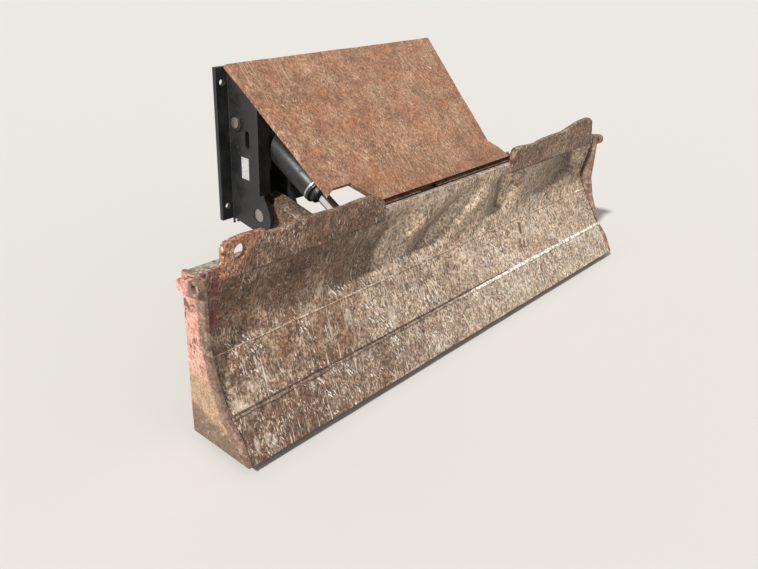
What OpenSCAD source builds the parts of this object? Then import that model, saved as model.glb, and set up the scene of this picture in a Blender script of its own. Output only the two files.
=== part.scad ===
// Dozer blade assembly of a wheeled excavator: a wide blade on two arms, lifted by two
// hydraulic cylinders under a hinged guard plate, all carried by a bracket that bolts
// to the chassis. The origin is the centre of the bracket's bolting face. +Z is up and
// the blade faces -Y. Profiles are drawn in a ground frame, where y runs back from the
// cutting edge's tip and z up from the ground, and one translate puts them in place.

/* [Placement] */
// Height of the origin, the middle of the bolting face, above the ground
mount_height = 720; // [700:1:760]
// Distance from the cutting edge's tip back to the bolting face
reach = 1000; // [980:1:1060]

/* [Blade] */
// Overall width of the blade over its end plates
blade_w = 2490; // [2350:1:2700]
// Height of the cutting edge's tip above the ground
tip_z = 35; // [20:1:60]
// Height of the cutting edge plate up its slope
edge_len = 162; // [140:1:170]
// Thickness of the cutting edge
edge_t = 20; // [14:1:24]
// Slope of the cutting edge from level, in degrees
edge_slope = 54.5; // [50:0.5:58]
// Thickness of the mouldboard
board_t = 12; // [8:1:16]
// Distance back to the mouldboard's crease
crease_y = 207; // [198:1:216]
// Height of the mouldboard's crease
crease_z = 336; // [325:1:350]
// Distance back to the end of the mouldboard's rolled stretch
roll_y = 226; // [220:1:234]
// Height of the end of the mouldboard's rolled stretch
roll_z = 480; // [460:1:500]
// Depth of the rolled stretch behind its chord
roll_sag = 20; // [8:1:24]
// Distance back to the upright lip along the mouldboard's top
lip_y = 202; // [196:1:206]
// Height at which the lip starts
lip_z = 592; // [580:1:596]
// Height of the lip's top edge
lip_top_z = 632; // [628:1:650]
// Distance back to the rear face of the blade
back_y = 285; // [275:1:292]
// Thickness of the back plate
back_t = 15; // [10:1:20]
// Height of the back plate's lower edge
back_low_z = 125; // [110:1:135]
// Height of the top plate's upper face
top_z = 620; // [612:1:628]
// Thickness of the top plate
top_t = 15; // [10:1:20]
// Half the width of the trough in the blade's top, where the guard's hinge lies
trough_w = 640; // [630:1:660]
// Height of the trough's floor
trough_z = 560; // [540:1:580]
// Height of the trough's turned-up rear edge above its floor
upstand_h = 40; // [20:1:44]
// Height of the bottom plate's upper face
floor_z = 150; // [142:1:152]
// Thickness of the bottom plate
floor_t = 12; // [8:1:16]
// Thickness of an end plate
end_t = 18; // [14:1:24]
// Distance back to an end plate's upright front edge
end_front_y = 180; // [170:1:188]
// Height of an end plate's top edge
end_top_z = 626; // [622:1:640]

/* [Wing plates] */
// Distance from the centre to a wing plate's inner end
wing_in = 430; // [380:1:480]
// Gap between a wing plate's outer end and the end plate
wing_gap = 62; // [40:1:90]
// Thickness of a wing plate
wing_t = 22; // [14:1:26]
// Height of a wing plate's lower edge
wing_low_z = 600; // [597:1:608]
// Height of a wing plate's top edge
wing_top_z = 706; // [695:1:715]
// Length of the raised lug at the left wing plate's outer end
wing_lug_len = 165; // [130:1:200]
// Height of the raised lug above the wing plate's top edge
wing_lug_h = 14; // [6:1:20]
// Height by which the right wing plate's battered end stands above its top edge
wing_rise = 28; // [10:1:34]
// Length of the right wing plate's rising top
wing_rise_len = 315; // [250:1:360]
// Radius of a wing plate's inner upper corner
wing_in_r = 62; // [40:1:70]
// Radius of a wing plate's outer upper corner
wing_out_r = 30; // [15:1:40]
// Distance from the left wing plate's outer end to its lifting eye
eye_in = 64; // [50:1:80]
// Height of the lifting eye
eye_z = 674; // [665:1:680]
// Diameter of the lifting eye
eye_d = 50; // [40:1:56]

/* [End lugs] */
// Thickness of an end lug
lug_t = 25; // [15:1:35]
// Height of an end lug's bar
lug_h = 46; // [40:1:50]
// Distance back to an end lug's hole
lug_y = 187; // [182:1:195]
// Height of an end lug's hole
lug_z = 604; // [598:1:606]
// Distance from an end lug's hole to the middle of its rear round end
lug_reach = 68; // [55:1:72]
// Fall of an end lug towards the back, in degrees
lug_fall = 10; // [0:1:14]
// Diameter of an end lug's hole
lug_hole_d = 26; // [20:1:30]

/* [Arms] */
// Distance of the arms' pivot in front of the bolting face
pivot_in = 180; // [172:1:188]
// Height of the arms' pivot
pivot_z = 452; // [440:1:460]
// Distance from the centre to an arm's middle
arm_x = 420; // [415:1:425]
// Thickness of an arm
arm_t = 60; // [40:1:64]
// Outer radius of an arm's rounded end
arm_end_r = 88; // [80:1:92]
// Radius of an arm's hub
hub_r = 60; // [50:1:66]
// Length of an arm's hub
hub_len = 108; // [100:1:108]
// Height of an arm's lower edge at the blade
arm_low_z = 165; // [155:1:190]
// Height of an arm's upper edge at the blade
arm_high_z = 426; // [400:1:430]
// Diameter of the arm pins
arm_pin_d = 60; // [50:1:64]
// How far an arm pin's end lies inside the side plate's face
arm_pin_sunk = 5; // [2:1:10]
// Distance back to the tube that ties the arms
tube_y = 560; // [500:1:600]
// Height of the tube that ties the arms
tube_z = 372; // [360:1:385]
// Outer diameter of the tube that ties the arms
tube_d = 120; // [100:1:130]
// Wall of the tube that ties the arms
tube_wall = 12; // [8:1:16]

/* [Cylinders] */
// Distance of the cylinders' base pins in front of the bolting face
base_in = 67; // [66:1:70]
// Height of the cylinders' base pins
base_z = 825; // [815:1:832]
// Distance back to the rods' pins
rod_pin_y = 345; // [342:1:352]
// Height of the rods' pins
rod_pin_z = 502; // [498:1:508]
// Diameter of the base pins and the rods' pins
cyl_pin_d = 45; // [38:1:50]
// How far a pin stands out of its ear
pin_proud = 6; // [3:1:10]
// Radius of a cylinder's base eye
base_eye_r = 40; // [36:1:41]
// How much smaller the neck's radius is than the base eye's
neck_in = 5; // [3:1:8]
// Length of a cylinder's base eye along its pin
base_eye_len = 90; // [80:1:96]
// Outer diameter of a cylinder's barrel
barrel_d = 108; // [100:1:112]
// Inner diameter of a cylinder's barrel
barrel_bore_d = 90; // [84:1:92]
// Distance from a base pin to the start of the barrel's tube
barrel_start = 60; // [56:1:66]
// Thickness of the barrel's closed end
barrel_end_t = 18; // [12:1:20]
// Distance from a base pin to the gland's face
barrel_len = 428; // [415:1:430]
// Length of the pale gland ring
gland_len = 14; // [8:1:18]
// Length of the gland's nose in front of its ring
nose_len = 20; // [12:1:22]
// Diameter of the gland's nose
nose_d = 84; // [70:1:92]
// Diameter of a rod
rod_d = 50; // [42:1:56]
// Length of a rod behind its eye
rod_len = 450; // [430:1:455]
// Radius of a rod's eye
rod_eye_r = 42; // [40:1:44]
// Length of a rod's eye along its pin
rod_eye_len = 60; // [50:1:64]
// Room round the rods' pins in their eyes, for the drift of the coupled linkage
rod_eye_room = 6.5; // [6:0.1:7.5]
// Thickness of the ears that hold a rod's eye
rod_ear_t = 14; // [10:1:18]
// Outer radius of the ears that hold a rod's eye
rod_ear_r = 40; // [34:1:46]
// Height of a rod ear's root below the rod's pin
rod_ear_low = 70; // [55:1:90]
// Height of a rod ear's root above the rod's pin
rod_ear_high = 40; // [30:1:42]
// Side play of a rod's eye between its ears
side_play = 5; // [3:0.5:7]
// Diameter of a barrel's oil ports
port_d = 36; // [28:1:42]
// Height of an oil port above the barrel
port_h = 16; // [10:1:22]
// Bore of an oil port
port_bore_d = 18; // [12:1:22]
// Distance of an oil port from the end of the barrel's tube
port_in = 34; // [26:1:45]

/* [Guard plate] */
// Slope of the guard plate from level, in degrees
guard_slope = 41.1; // [40:0.1:42]
// Distance back to the guard plate's lower edge
guard_y = 312.5; // [310:0.5:316]
// Height of the guard plate's lower edge
guard_z = 612.5; // [610:0.5:615]
// Length of the guard plate past the rest bar, up its slope
guard_over = 107; // [90:1:125]
// Half the width of the guard plate at its top
guard_top_w = 610; // [590:1:640]
// Half the width of the guard plate at its waist
guard_waist_w = 529; // [515:1:560]
// Distance of the waist up the slope
waist_up = 105; // [85:1:125]
// Half the width of the guard plate at its lower edge
guard_low_w = 603; // [590:1:612]
// Width of the curl at the guard plate's lower corners
curl_w = 33; // [20:1:45]
// Height of the curl up the slope
curl_up = 61; // [45:1:75]
// Width of the step below the broken corner
break_step = 39; // [25:1:50]
// Distance in from the waist to the top of the broken corner
break_high = 132; // [110:1:150]
// Distance in from the waist to the foot of the broken corner
break_low = 235; // [200:1:260]
// Thickness of the guard plate
guard_t = 20; // [16:1:22]
// Distance of the guard's hinge up the slope from the lower edge
hinge_up = 2; // [0:0.5:8]
// Diameter of the guard's hinge pins
hinge_pin_d = 22; // [18:1:24]
// Radius of the guard's hinge tubes
knuckle_r = 16; // [15:0.5:18]
// Length of a hinge tube
knuckle_len = 543; // [400:1:580]
// Thickness of the guard's end ears
end_ear_t = 14; // [10:1:18]
// Radius of the guard's end ears
end_ear_r = 22; // [20:1:26]
// Distance from the guard's end ears out to the blade's hinge ears
hinge_gap = 105; // [60:1:120]
// Thickness of the blade's hinge ears
hinge_ear_t = 22; // [16:1:26]
// Outer radius of the blade's hinge ears
hinge_ear_r = 42; // [34:1:46]
// Height of a hinge ear's root below the hinge
hinge_root_low = 160; // [120:1:200]
// Height of a hinge ear's root below the hinge at its upper end
hinge_root_high = 5; // [0:1:30]
// Length of a hinge pin inside its tube
pin_grip = 70; // [50:1:120]
// Distance from the centre to a stiffener
stiff_x = 200; // [150:1:240]
// Distance up the slope from the lower edge to the stiffeners' start
stiff_start = 110; // [95:1:140]
// Length of the guard's stiffeners
stiff_len = 275; // [220:1:285]
// Height of the guard's stiffeners
stiff_h = 45; // [30:1:55]
// Thickness of the guard's stiffeners
stiff_t = 12; // [8:1:16]

/* [Bracket] */
// Width of the mount plate
plate_w = 1120; // [1090:1:1160]
// Thickness of the mount plate
plate_t = 20; // [16:1:24]
// Height of the mount plate's lower edge above the ground
plate_low_z = 400; // [385:1:410]
// Height of the mount plate's upper edge above the ground
plate_high_z = 1040; // [1030:1:1060]
// Width of the mount plate's window
window_w = 440; // [380:1:480]
// Height of the window's lower edge above the ground
window_low_z = 650; // [645:1:670]
// Height of the window's upper edge above the ground
window_high_z = 900; // [880:1:910]
// Radius of the window's corners
window_r = 40; // [20:1:60]
// Spacing of a bolt group's two columns
bolt_dx = 120; // [116:1:124]
// Spacing of a bolt group's two rows
bolt_dz = 520; // [500:1:540]
// Distance from the centre to the middle of a bolt group
bolt_x = 470; // [468:1:473]
// Diameter of the bolt holes
bolt_hole_d = 26; // [22:1:28]
// Distance from the centre to a side plate's outer face
side_x = 500; // [498:1:506]
// Thickness of the bracket's side plates and inner plates
side_t = 20; // [14:1:20]
// Distance from the centre to an inner plate's outer face
inner_x = 360; // [352:1:362]
// Distance of the side plates' upright front edge in front of the bolting face
side_front_in = 223; // [218:1:230]
// Distance of the end of the side plates' sloping top in front of the bolting face
side_slope_in = 100; // [80:1:120]
// Height of the inner plates' top
inner_top_z = 905; // [895:1:930]
// Radius of the bracket's lower ears
ear_r = 78; // [70:1:82]
// Width of the front flanges
flange_w = 57; // [40:1:70]
// Thickness of the front flanges
flange_t = 15; // [10:1:20]
// Height of the front flanges' lower end
flange_low_z = 560; // [540:1:600]
// Radius of the pin boss on a side plate
boss_r = 33; // [30:1:38]
// Height of the pin boss above a side plate
boss_h = 10; // [6:1:16]
// Width of the slot in a side plate
slot_w = 25; // [18:1:30]
// Length of the slot in a side plate
slot_len = 75; // [60:1:80]
// Distance of the slot in a side plate in front of the bolting face
slot_in = 126; // [120:1:135]
// Height of the slot in a side plate
slot_z = 762; // [750:1:765]
// Diameter of the bar that the guard plate rests over
rest_d = 60; // [50:1:64]
// Distance of the rest bar behind the side plates' front edge
rest_in = 29; // [20:1:40]
// Room between the guard plate and the rest bar
rest_room = 10; // [9:0.5:12]
// Height of the cross plate between the inner plates
cross_z = 600; // [580:1:620]
// Thickness of the cross plate
cross_t = 15; // [10:1:20]
// Depth of the cross plate in front of the mount plate
cross_depth = 160; // [120:1:180]

/* [Hidden] */
$fn = 64;

// Finishes as the photograph shows them
rust = "#7a5a48";
pale_rust = "#a3785c";
faded_red = "#a8625c";
worn_steel = "#8d8580";
dark_grey = "#2e2d2f";
bright_steel = "#c9c9cb";

// Play of a pin in its eye and of a rod in its gland, a running fit
play = 0.05;
// Overrun of a cutting shape past the face that it cuts
cut = 1;

left = -1;
right = 1;
half_w = blade_w / 2;
end_in = half_w - end_t;

// Places that go with the bolting face
pivot_y = reach - pivot_in;
base_y = reach - base_in;
side_front_y = reach - side_front_in;
side_slope_y = reach - side_slope_in;
slot_y = reach - slot_in;

// Frame of the profiles
edge_dir = [cos(edge_slope), sin(edge_slope)];
edge_normal = [sin(edge_slope), -cos(edge_slope)];
tip = [0, tip_z];
bead = tip + edge_len * edge_dir;
crease = [crease_y, crease_z];
roll_end = [roll_y, roll_z];
pivot = [pivot_y, pivot_z];
base = [base_y, base_z];
rod_pin = [rod_pin_y, rod_pin_z];
plate_front_y = reach - plate_t;

// Points of an arc from p to q that bulges by sag to the right of the way from p to q
function arc_between(p, q, sag, steps) =
  let (
    chord = norm(q - p),
    radius = (chord * chord / 4 + sag * sag) / (2 * sag),
    along = (q - p) / chord,
    side = [along[1], -along[0]],
    centre = (p + q) / 2 + side * (sag - radius),
    half = asin(chord / 2 / radius)
  )
  [for (i = [0:steps])
    let (a = -half + 2 * half * i / steps)
    centre + radius * (side * cos(a) + along * sin(a))];

// Point of the tangent from point p to a circle, on its upper side for turn 1, lower for -1
function tangent_to(p, centre, r, turn) =
  let (
    d = centre - p,
    dist = norm(d),
    a = atan2(d[1], d[0]) + turn * asin(r / dist),
    reach_len = sqrt(dist * dist - r * r)
  )
  p + reach_len * [cos(a), sin(a)];

// Unit normal to the right of the way from p to q
function right_of(p, q) = [(q - p)[1], -(q - p)[0]] / norm(q - p);

// Mitred offset of point i of an open path, t to the right
function mitred(path, i, t) =
  let (
    n1 = right_of(path[max(i - 1, 0)], path[max(i, 1)]),
    n2 = right_of(path[min(i, len(path) - 2)], path[min(i + 1, len(path) - 1)]),
    m = (n1 + n2) / norm(n1 + n2)
  )
  path[i] + m * t / (m * n1);

// Draws a ground-frame profile, given as y and z, between two places across the blade
module slab(x0, x1) {
  translate([x0, 0, 0]) rotate([90, 0, 90]) linear_extrude(x1 - x0) children();
}

// Draws a front-view outline, given as x and z, from y0 for a thickness t
module upright(y0, t) {
  translate([0, y0 + t, 0]) rotate([90, 0, 0]) linear_extrude(t) children();
}

// Round bar across the blade between two places, about a ground-frame point
module bar(x0, x1, at, d) {
  translate([x0, at[0], at[1]]) rotate([0, 90, 0]) cylinder(h = x1 - x0, d = d);
}

// Moves ground-frame geometry to the part's frame
module placed() {
  translate([0, -reach, -mount_height]) children();
}

// Mirrors right-hand geometry to the left where side is left
module on(side) {
  mirror([side == left ? 1 : 0, 0, 0]) children();
}

// Runs children in the frame of a cylinder: x along it from the base pin to the rod's
// pin, y along the pins
rod_line = rod_pin - base;
rest_len = norm(rod_line);
rod_angle = atan2(rod_line[1], rod_line[0]);
module along_cylinder(x) {
  translate([x, base_y, base_z]) rotate([0, 0, 90]) rotate([0, -rod_angle, 0]) children();
}

// Runs children in the frame of the guard plate: x across, y up the slope from the lower
// edge, z out of the upper face
module on_guard() {
  translate([0, guard_y, guard_z]) rotate([guard_slope, 0, 0]) children();
}
guard_dir = [cos(guard_slope), sin(guard_slope)];
guard_normal = [-sin(guard_slope), cos(guard_slope)];
hinge = [guard_y, guard_z] + hinge_up * guard_dir - (guard_t + knuckle_r) * guard_normal;
rest_off = guard_t + rest_room + rest_d / 2;
rest_up = (side_front_y + rest_in - guard_y - rest_off * sin(guard_slope)) / cos(guard_slope);
rest = [guard_y, guard_z] + rest_up * guard_dir - rest_off * guard_normal;
guard_len = rest_up + guard_over;
// The side plates' front corner lies at the rest bar's middle
side_front_z = rest[1];

// Mount plate: window and two groups of bolt holes
module mount_plate() {
  color(dark_grey) placed() difference() {
    upright(plate_front_y, plate_t) difference() {
      translate([-plate_w / 2, plate_low_z]) square([plate_w, plate_high_z - plate_low_z]);
      window_outline();
    }
    for (sx = [left, right], dx = [-0.5, 0.5], dz = [-0.5, 0.5]) {
      translate([sx * bolt_x + dx * bolt_dx, reach + cut, mount_height + dz * bolt_dz])
        rotate([90, 0, 0]) cylinder(h = plate_t + 2 * cut, d = bolt_hole_d);
    }
  }
}

// Window with round corners, drawn as a cross and four discs
module window_outline() {
  w = window_w / 2;
  translate([-w + window_r, window_low_z])
    square([window_w - 2 * window_r, window_high_z - window_low_z]);
  translate([-w, window_low_z + window_r])
    square([window_w, window_high_z - window_low_z - 2 * window_r]);
  for (sx = [left, right], z = [window_low_z + window_r, window_high_z - window_r]) {
    translate([sx * (w - window_r), z]) circle(window_r);
  }
}

// Outline shared by side plates and inner plates: a lower ear round the arm pin, an
// upright front edge, and a top that the caller gives as points
module ear_outline(front_z, top_points) {
  polygon(concat(
    [tangent_to([plate_front_y, plate_low_z], pivot, ear_r, 1)],
    [[plate_front_y, plate_low_z]],
    top_points,
    [[side_front_y, front_z]],
    [[side_front_y, flange_low_z - side_t]],
    [tangent_to([side_front_y, flange_low_z - side_t], pivot, ear_r, -1)],
    [pivot]
  ));
  translate(pivot) circle(ear_r);
}

module side_plate(side) {
  slope_end_z = plate_high_z - side_t;
  inner_face = side_x - side_t;
  color(dark_grey) placed() on(side) {
    difference() {
      union() {
        slab(inner_face, side_x)
          ear_outline(side_front_z, [[plate_front_y, slope_end_z], [side_slope_y, slope_end_z]]);
        bar(inner_face, side_x + boss_h, base, 2 * boss_r);
        translate([inner_face, side_front_y - flange_t, flange_low_z])
          cube([flange_w, flange_t, side_front_z - flange_low_z]);
      }
      bar(inner_face - cut, side_x + cut, pivot, arm_pin_d + 2 * play);
      bar(inner_face - cut, side_x + boss_h + cut, base, cyl_pin_d + 2 * play);
      slab(inner_face - cut, side_x + cut) slot_outline();
    }
  }
}

// Upright slot with round ends
module slot_outline() {
  straight = slot_len - slot_w;
  translate([slot_y - slot_w / 2, slot_z - straight / 2]) square([slot_w, straight]);
  for (dz = [-0.5, 0.5]) {
    translate([slot_y, slot_z + dz * straight]) circle(d = slot_w);
  }
}

module inner_plate(side) {
  color(dark_grey) placed() on(side) difference() {
    slab(inner_x - side_t, inner_x)
      ear_outline(base_z, [[plate_front_y, inner_top_z], [base_y - boss_r, inner_top_z]]);
    bar(inner_x - side_t - cut, inner_x + cut, pivot, arm_pin_d + 2 * play);
    bar(inner_x - side_t - cut, inner_x + cut, base, cyl_pin_d + 2 * play);
  }
}

module cross_plate() {
  w = inner_x - side_t;
  color(dark_grey) placed()
    translate([-w, plate_front_y - cross_depth, cross_z]) cube([2 * w, cross_depth, cross_t]);
}

module rest_bar() {
  w = side_x - side_t;
  color(dark_grey) placed() bar(-w, w, rest, rest_d);
}

// Pins stop inside a side plate's face at the arms and pass its boss at the cylinders
pin_in = inner_x - side_t - pin_proud;
module arm_pin(side) {
  color(worn_steel) placed() on(side) bar(pin_in, side_x - arm_pin_sunk, pivot, arm_pin_d);
}

module base_pin(side) {
  color(bright_steel) placed() on(side) bar(pin_in, side_x + boss_h + pin_proud, base, cyl_pin_d);
}

// Front line of the mouldboard from the cutting edge's weld up to its lip
board_path = concat(
  [bead],
  arc_between(crease, roll_end, roll_sag, 10),
  [[lip_y, lip_z], [lip_y, lip_top_z]]
);

module mouldboard() {
  last = len(board_path) - 1;
  color(rust) placed() slab(-end_in, end_in)
    polygon(concat(board_path, [for (i = [last:-1:0]) mitred(board_path, i, board_t)]));
}

// Rear line of the cutting edge at height z
function edge_back_y(z) = edge_t / sin(edge_slope) + (z - tip_z) / tan(edge_slope);

module cutting_edge() {
  color(worn_steel) placed() slab(-end_in, end_in)
    polygon([tip, bead, bead + edge_t * edge_normal, [edge_back_y(tip_z), tip_z]]);
}

// End plate outline: y and z down the worn front edge, from the upright part to the tip
end_wear = [
  // y, z
  [180, 400], [156, 305], [126, 235], [104, 175], [73, 147], [46, 118], [0, 35]
];

module end_plate(side) {
  shift = [end_front_y - end_wear[0][0], 0];
  color(faded_red) placed() on(side) slab(end_in, half_w)
    polygon(concat(
      [[back_y, tip_z], [back_y, end_top_z], [end_front_y, end_top_z]],
      [for (i = [0:len(end_wear) - 2]) end_wear[i] + shift],
      [tip]
    ));
}

// Top plate: a strip folded down into a trough in the middle, cut to the mouldboard's
// back, with the trough's rear edge turned up
module top_plate() {
  under = top_z - top_t;
  outer_w = trough_w + top_t;
  last = len(board_path) - 1;
  color(worn_steel) placed() intersection() {
    upright(lip_y, back_y - lip_y) polygon([
      [end_in, top_z], [trough_w, top_z], [trough_w, trough_z],
      [-trough_w, trough_z], [-trough_w, top_z], [-end_in, top_z],
      [-end_in, under], [-outer_w, under], [-outer_w, trough_z - top_t],
      [outer_w, trough_z - top_t], [outer_w, under], [end_in, under]
    ]);
    slab(-end_in, end_in) polygon(concat(
      [for (i = [0:last]) mitred(board_path, i, board_t)],
      [[back_y, lip_top_z], [back_y, bead[1]]]
    ));
  }
  color(worn_steel) placed() translate([-outer_w, back_y - top_t, trough_z - top_t])
    cube([2 * outer_w, top_t, top_t + upstand_h]);
}

// Back plate, lower where it closes the trough
module back_plate() {
  under = top_z - top_t;
  outer_w = trough_w + top_t;
  color(rust) placed() upright(back_y - back_t, back_t) polygon([
    [-end_in, back_low_z], [end_in, back_low_z], [end_in, under], [outer_w, under],
    [outer_w, trough_z - top_t], [-outer_w, trough_z - top_t], [-outer_w, under],
    [-end_in, under]
  ]);
}

module bottom_plate() {
  low = floor_z - floor_t;
  rear = back_y - back_t;
  color(rust) placed() slab(-end_in, end_in)
    polygon([[edge_back_y(low), low], [edge_back_y(floor_z), floor_z], [rear, floor_z], [rear, low]]);
}

// Outline shared by both wing plates: a bar with a large round inner corner
wing_out = end_in - wing_gap;
module wing_outline() {
  translate([wing_in, wing_low_z])
    square([wing_out - wing_in, wing_top_z - wing_in_r - wing_low_z]);
  translate([wing_in + wing_in_r, wing_low_z])
    square([wing_out - wing_in - wing_in_r - wing_out_r, wing_top_z - wing_low_z]);
  intersection() {
    translate([wing_in + wing_in_r, wing_top_z - wing_in_r]) circle(wing_in_r);
    translate([wing_in, wing_low_z]) square([2 * wing_in_r, wing_top_z - wing_low_z]);
  }
}

// Left wing plate: spill plate on the lip, with a raised lug round its lifting eye
module wing_plate_left() {
  lug_top = wing_top_z + wing_lug_h;
  color(rust) placed() on(left) difference() {
    upright(lip_y - wing_t, wing_t) {
      wing_outline();
      translate([wing_out - wing_lug_len, wing_low_z])
        square([wing_lug_len - wing_out_r, lug_top - wing_low_z]);
      translate([wing_out - wing_lug_len, wing_low_z])
        square([wing_lug_len, lug_top - wing_out_r - wing_low_z]);
      translate([wing_out - wing_out_r, lug_top - wing_out_r]) circle(wing_out_r);
    }
    translate([wing_out - eye_in, lip_y + cut, eye_z]) rotate([90, 0, 0])
      cylinder(h = wing_t + 2 * cut, d = eye_d);
  }
}

// Right wing plate: its outer end is battered, stands higher and has no eye
module wing_plate_right() {
  start = wing_out - wing_rise_len;
  color(rust) placed() upright(lip_y - wing_t, wing_t) {
    wing_outline();
    polygon([
      [start, wing_low_z], [wing_out, wing_low_z],
      [wing_out, wing_top_z + 0.3 * wing_rise],
      [wing_out - wing_out_r, wing_top_z + wing_rise],
      [start + wing_rise_len / 2, wing_top_z + 0.8 * wing_rise], [start, wing_top_z]
    ]);
  }
}

// End lug: a bar with round ends that falls towards the back
module end_lug(side) {
  color(faded_red) placed() on(side) difference() {
    slab(half_w, half_w + lug_t) translate([lug_y, lug_z]) rotate(-lug_fall) {
      circle(d = lug_h);
      translate([0, -lug_h / 2]) square([lug_reach, lug_h]);
      translate([lug_reach, 0]) circle(d = lug_h);
    }
    bar(half_w - cut, half_w + lug_t + cut, [lug_y, lug_z], lug_hole_d);
  }
}

// Arm: tapered plate from the blade's back to a rounded end with a through hub
module arm(side) {
  high = [back_y, arm_high_z];
  low = [back_y, arm_low_z];
  color(rust) placed() on(side) difference() {
    union() {
      slab(arm_x - arm_t / 2, arm_x + arm_t / 2) {
        polygon([
          low, high, tangent_to(high, pivot, arm_end_r, 1), pivot,
          tangent_to(low, pivot, arm_end_r, -1)
        ]);
        translate(pivot) circle(arm_end_r);
      }
      bar(arm_x - hub_len / 2, arm_x + hub_len / 2, pivot, 2 * hub_r);
    }
    bar(arm_x - hub_len, arm_x + hub_len, pivot, arm_pin_d + 2 * play);
  }
}

module arm_tube() {
  w = arm_x - arm_t / 2;
  color(rust) placed() difference() {
    bar(-w, w, [tube_y, tube_z], tube_d);
    bar(-w - cut, w + cut, [tube_y, tube_z], tube_d - 2 * tube_wall);
  }
}

// One ear on the blade's back, t thick from x0, round a pin
module ear(x0, t, at, r, root_low_z, root_high_z, hole_d) {
  high = [back_y, root_high_z];
  low = [back_y, root_low_z];
  difference() {
    slab(x0, x0 + t) {
      polygon([low, high, tangent_to(high, at, r, 1), at, tangent_to(low, at, r, -1)]);
      translate(at) circle(r);
    }
    bar(x0 - cut, x0 + t + cut, at, hole_d);
  }
}

// A pair of ears, one on each side of a rod's eye
module rod_ears(side) {
  inside = rod_eye_len / 2 + side_play;
  color(rust) placed() on(side)
    for (x0 = [arm_x - inside - rod_ear_t, arm_x + inside]) {
      ear(x0, rod_ear_t, rod_pin, rod_ear_r, rod_pin_z - rod_ear_low,
        rod_pin_z + rod_ear_high, cyl_pin_d + 2 * play);
    }
}

module rod_pin_bar(side) {
  w = rod_eye_len / 2 + side_play + rod_ear_t + pin_proud;
  color(worn_steel) placed() on(side) bar(arm_x - w, arm_x + w, rod_pin, cyl_pin_d);
}

// Hinge ear outside each end of the guard plate
hinge_ear_x = guard_low_w + end_ear_t + hinge_gap;
module hinge_ears(side) {
  color(rust) placed() on(side)
    ear(hinge_ear_x, hinge_ear_t, hinge, hinge_ear_r, hinge[1] - hinge_root_low,
      hinge[1] - hinge_root_high, hinge_pin_d + 2 * play);
}

// Hinge pin from its tube out past the blade's ear
module hinge_pin_bar(side) {
  color(worn_steel) placed() on(side)
    bar(guard_low_w - pin_grip, hinge_ear_x + hinge_ear_t + pin_proud, hinge, hinge_pin_d);
}

// Guard plate outline: x and distance up the slope, round from the lower right corner
module guard_plate() {
  right_edge = [
    [guard_low_w, 0], [guard_low_w - curl_w, curl_up], [guard_waist_w, waist_up],
    [guard_top_w, guard_len]
  ];
  // The corner is missing below the waist
  left_edge = [
    [-guard_top_w, guard_len], [-guard_waist_w, 0.8 * waist_up],
    [break_step - guard_waist_w, waist_up], [break_high - guard_waist_w, waist_up],
    [(break_high + break_low) / 2 - guard_waist_w, 0.4 * waist_up],
    [break_low - guard_waist_w, 0]
  ];
  color(pale_rust) placed() on_guard() translate([0, 0, -guard_t])
    linear_extrude(guard_t) polygon(concat(right_edge, left_edge));
}

// Hinge tube under the guard plate's lower edge, with a weld fillet behind it and an ear
// that closes the plate's end
module knuckle(side) {
  whole = knuckle_len + end_ear_t;
  color(rust) placed() on(side) on_guard()
    translate([guard_low_w - knuckle_len, hinge_up, -guard_t - knuckle_r]) difference() {
      union() {
        rotate([0, 90, 0]) cylinder(h = whole, r = knuckle_r);
        cube([whole, knuckle_r, knuckle_r]);
        translate([knuckle_len, 0, 0]) rotate([90, 0, 90]) linear_extrude(end_ear_t) {
          circle(end_ear_r);
          polygon([
            [-end_ear_r, 0], [end_ear_r, 0], [end_ear_r, knuckle_r + guard_t],
            [-hinge_up, knuckle_r + guard_t]
          ]);
        }
      }
      translate([-cut, 0, 0]) rotate([0, 90, 0])
        cylinder(h = whole + 2 * cut, d = hinge_pin_d + 2 * play);
    }
}

// Two flat bars under the guard plate, with sloping ends
module guard_stiffeners() {
  color(rust) placed() on_guard()
    for (sx = [left, right])
      translate([sx * stiff_x - stiff_t / 2, 0, -guard_t]) rotate([90, 0, 90])
        linear_extrude(stiff_t) polygon([
          [stiff_start, 0], [stiff_start + stiff_len, 0],
          [stiff_start + stiff_len - stiff_h, -stiff_h], [stiff_start + stiff_h, -stiff_h]
        ]);
}

// Round bar along a cylinder's axis between two distances from the base pin
module axial(from, to, d) {
  translate([from, 0, 0]) rotate([0, 90, 0]) cylinder(h = to - from, d = d);
}

// Distances of a barrel's oil ports from its base pin
port_places = [barrel_start + port_in, barrel_len - port_in];

// Barrel: base eye, neck and a bored tube with a closed end and two oil ports on top
module barrel(side) {
  port_top = barrel_d / 2 + port_h;
  color(dark_grey) placed() on(side) along_cylinder(arm_x) difference() {
    union() {
      rotate([90, 0, 0]) translate([0, 0, -base_eye_len / 2])
        cylinder(h = base_eye_len, r = base_eye_r);
      axial(0, barrel_start + barrel_end_t, 2 * (base_eye_r - neck_in));
      axial(barrel_start, barrel_len, barrel_d);
      for (s = port_places) {
        translate([s, 0, -port_top]) cylinder(h = port_top, d = port_d);
      }
    }
    for (s = port_places) {
      translate([s, 0, -port_top - cut]) cylinder(h = port_top + cut, d = port_bore_d);
    }
    rotate([90, 0, 0]) translate([0, 0, -base_eye_len])
      cylinder(h = 2 * base_eye_len, d = cyl_pin_d + 2 * play);
    axial(barrel_start + barrel_end_t, barrel_len + cut, barrel_bore_d);
  }
}

// Gland: pale ring with a smaller nose, bored for the rod
module gland(side) {
  color(worn_steel) placed() on(side) along_cylinder(arm_x) difference() {
    union() {
      axial(barrel_len, barrel_len + gland_len, barrel_d);
      axial(barrel_len + gland_len, barrel_len + gland_len + nose_len, nose_d);
    }
    axial(barrel_len - cut, barrel_len + gland_len + nose_len + cut, rod_d + 2 * play);
  }
}

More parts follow.
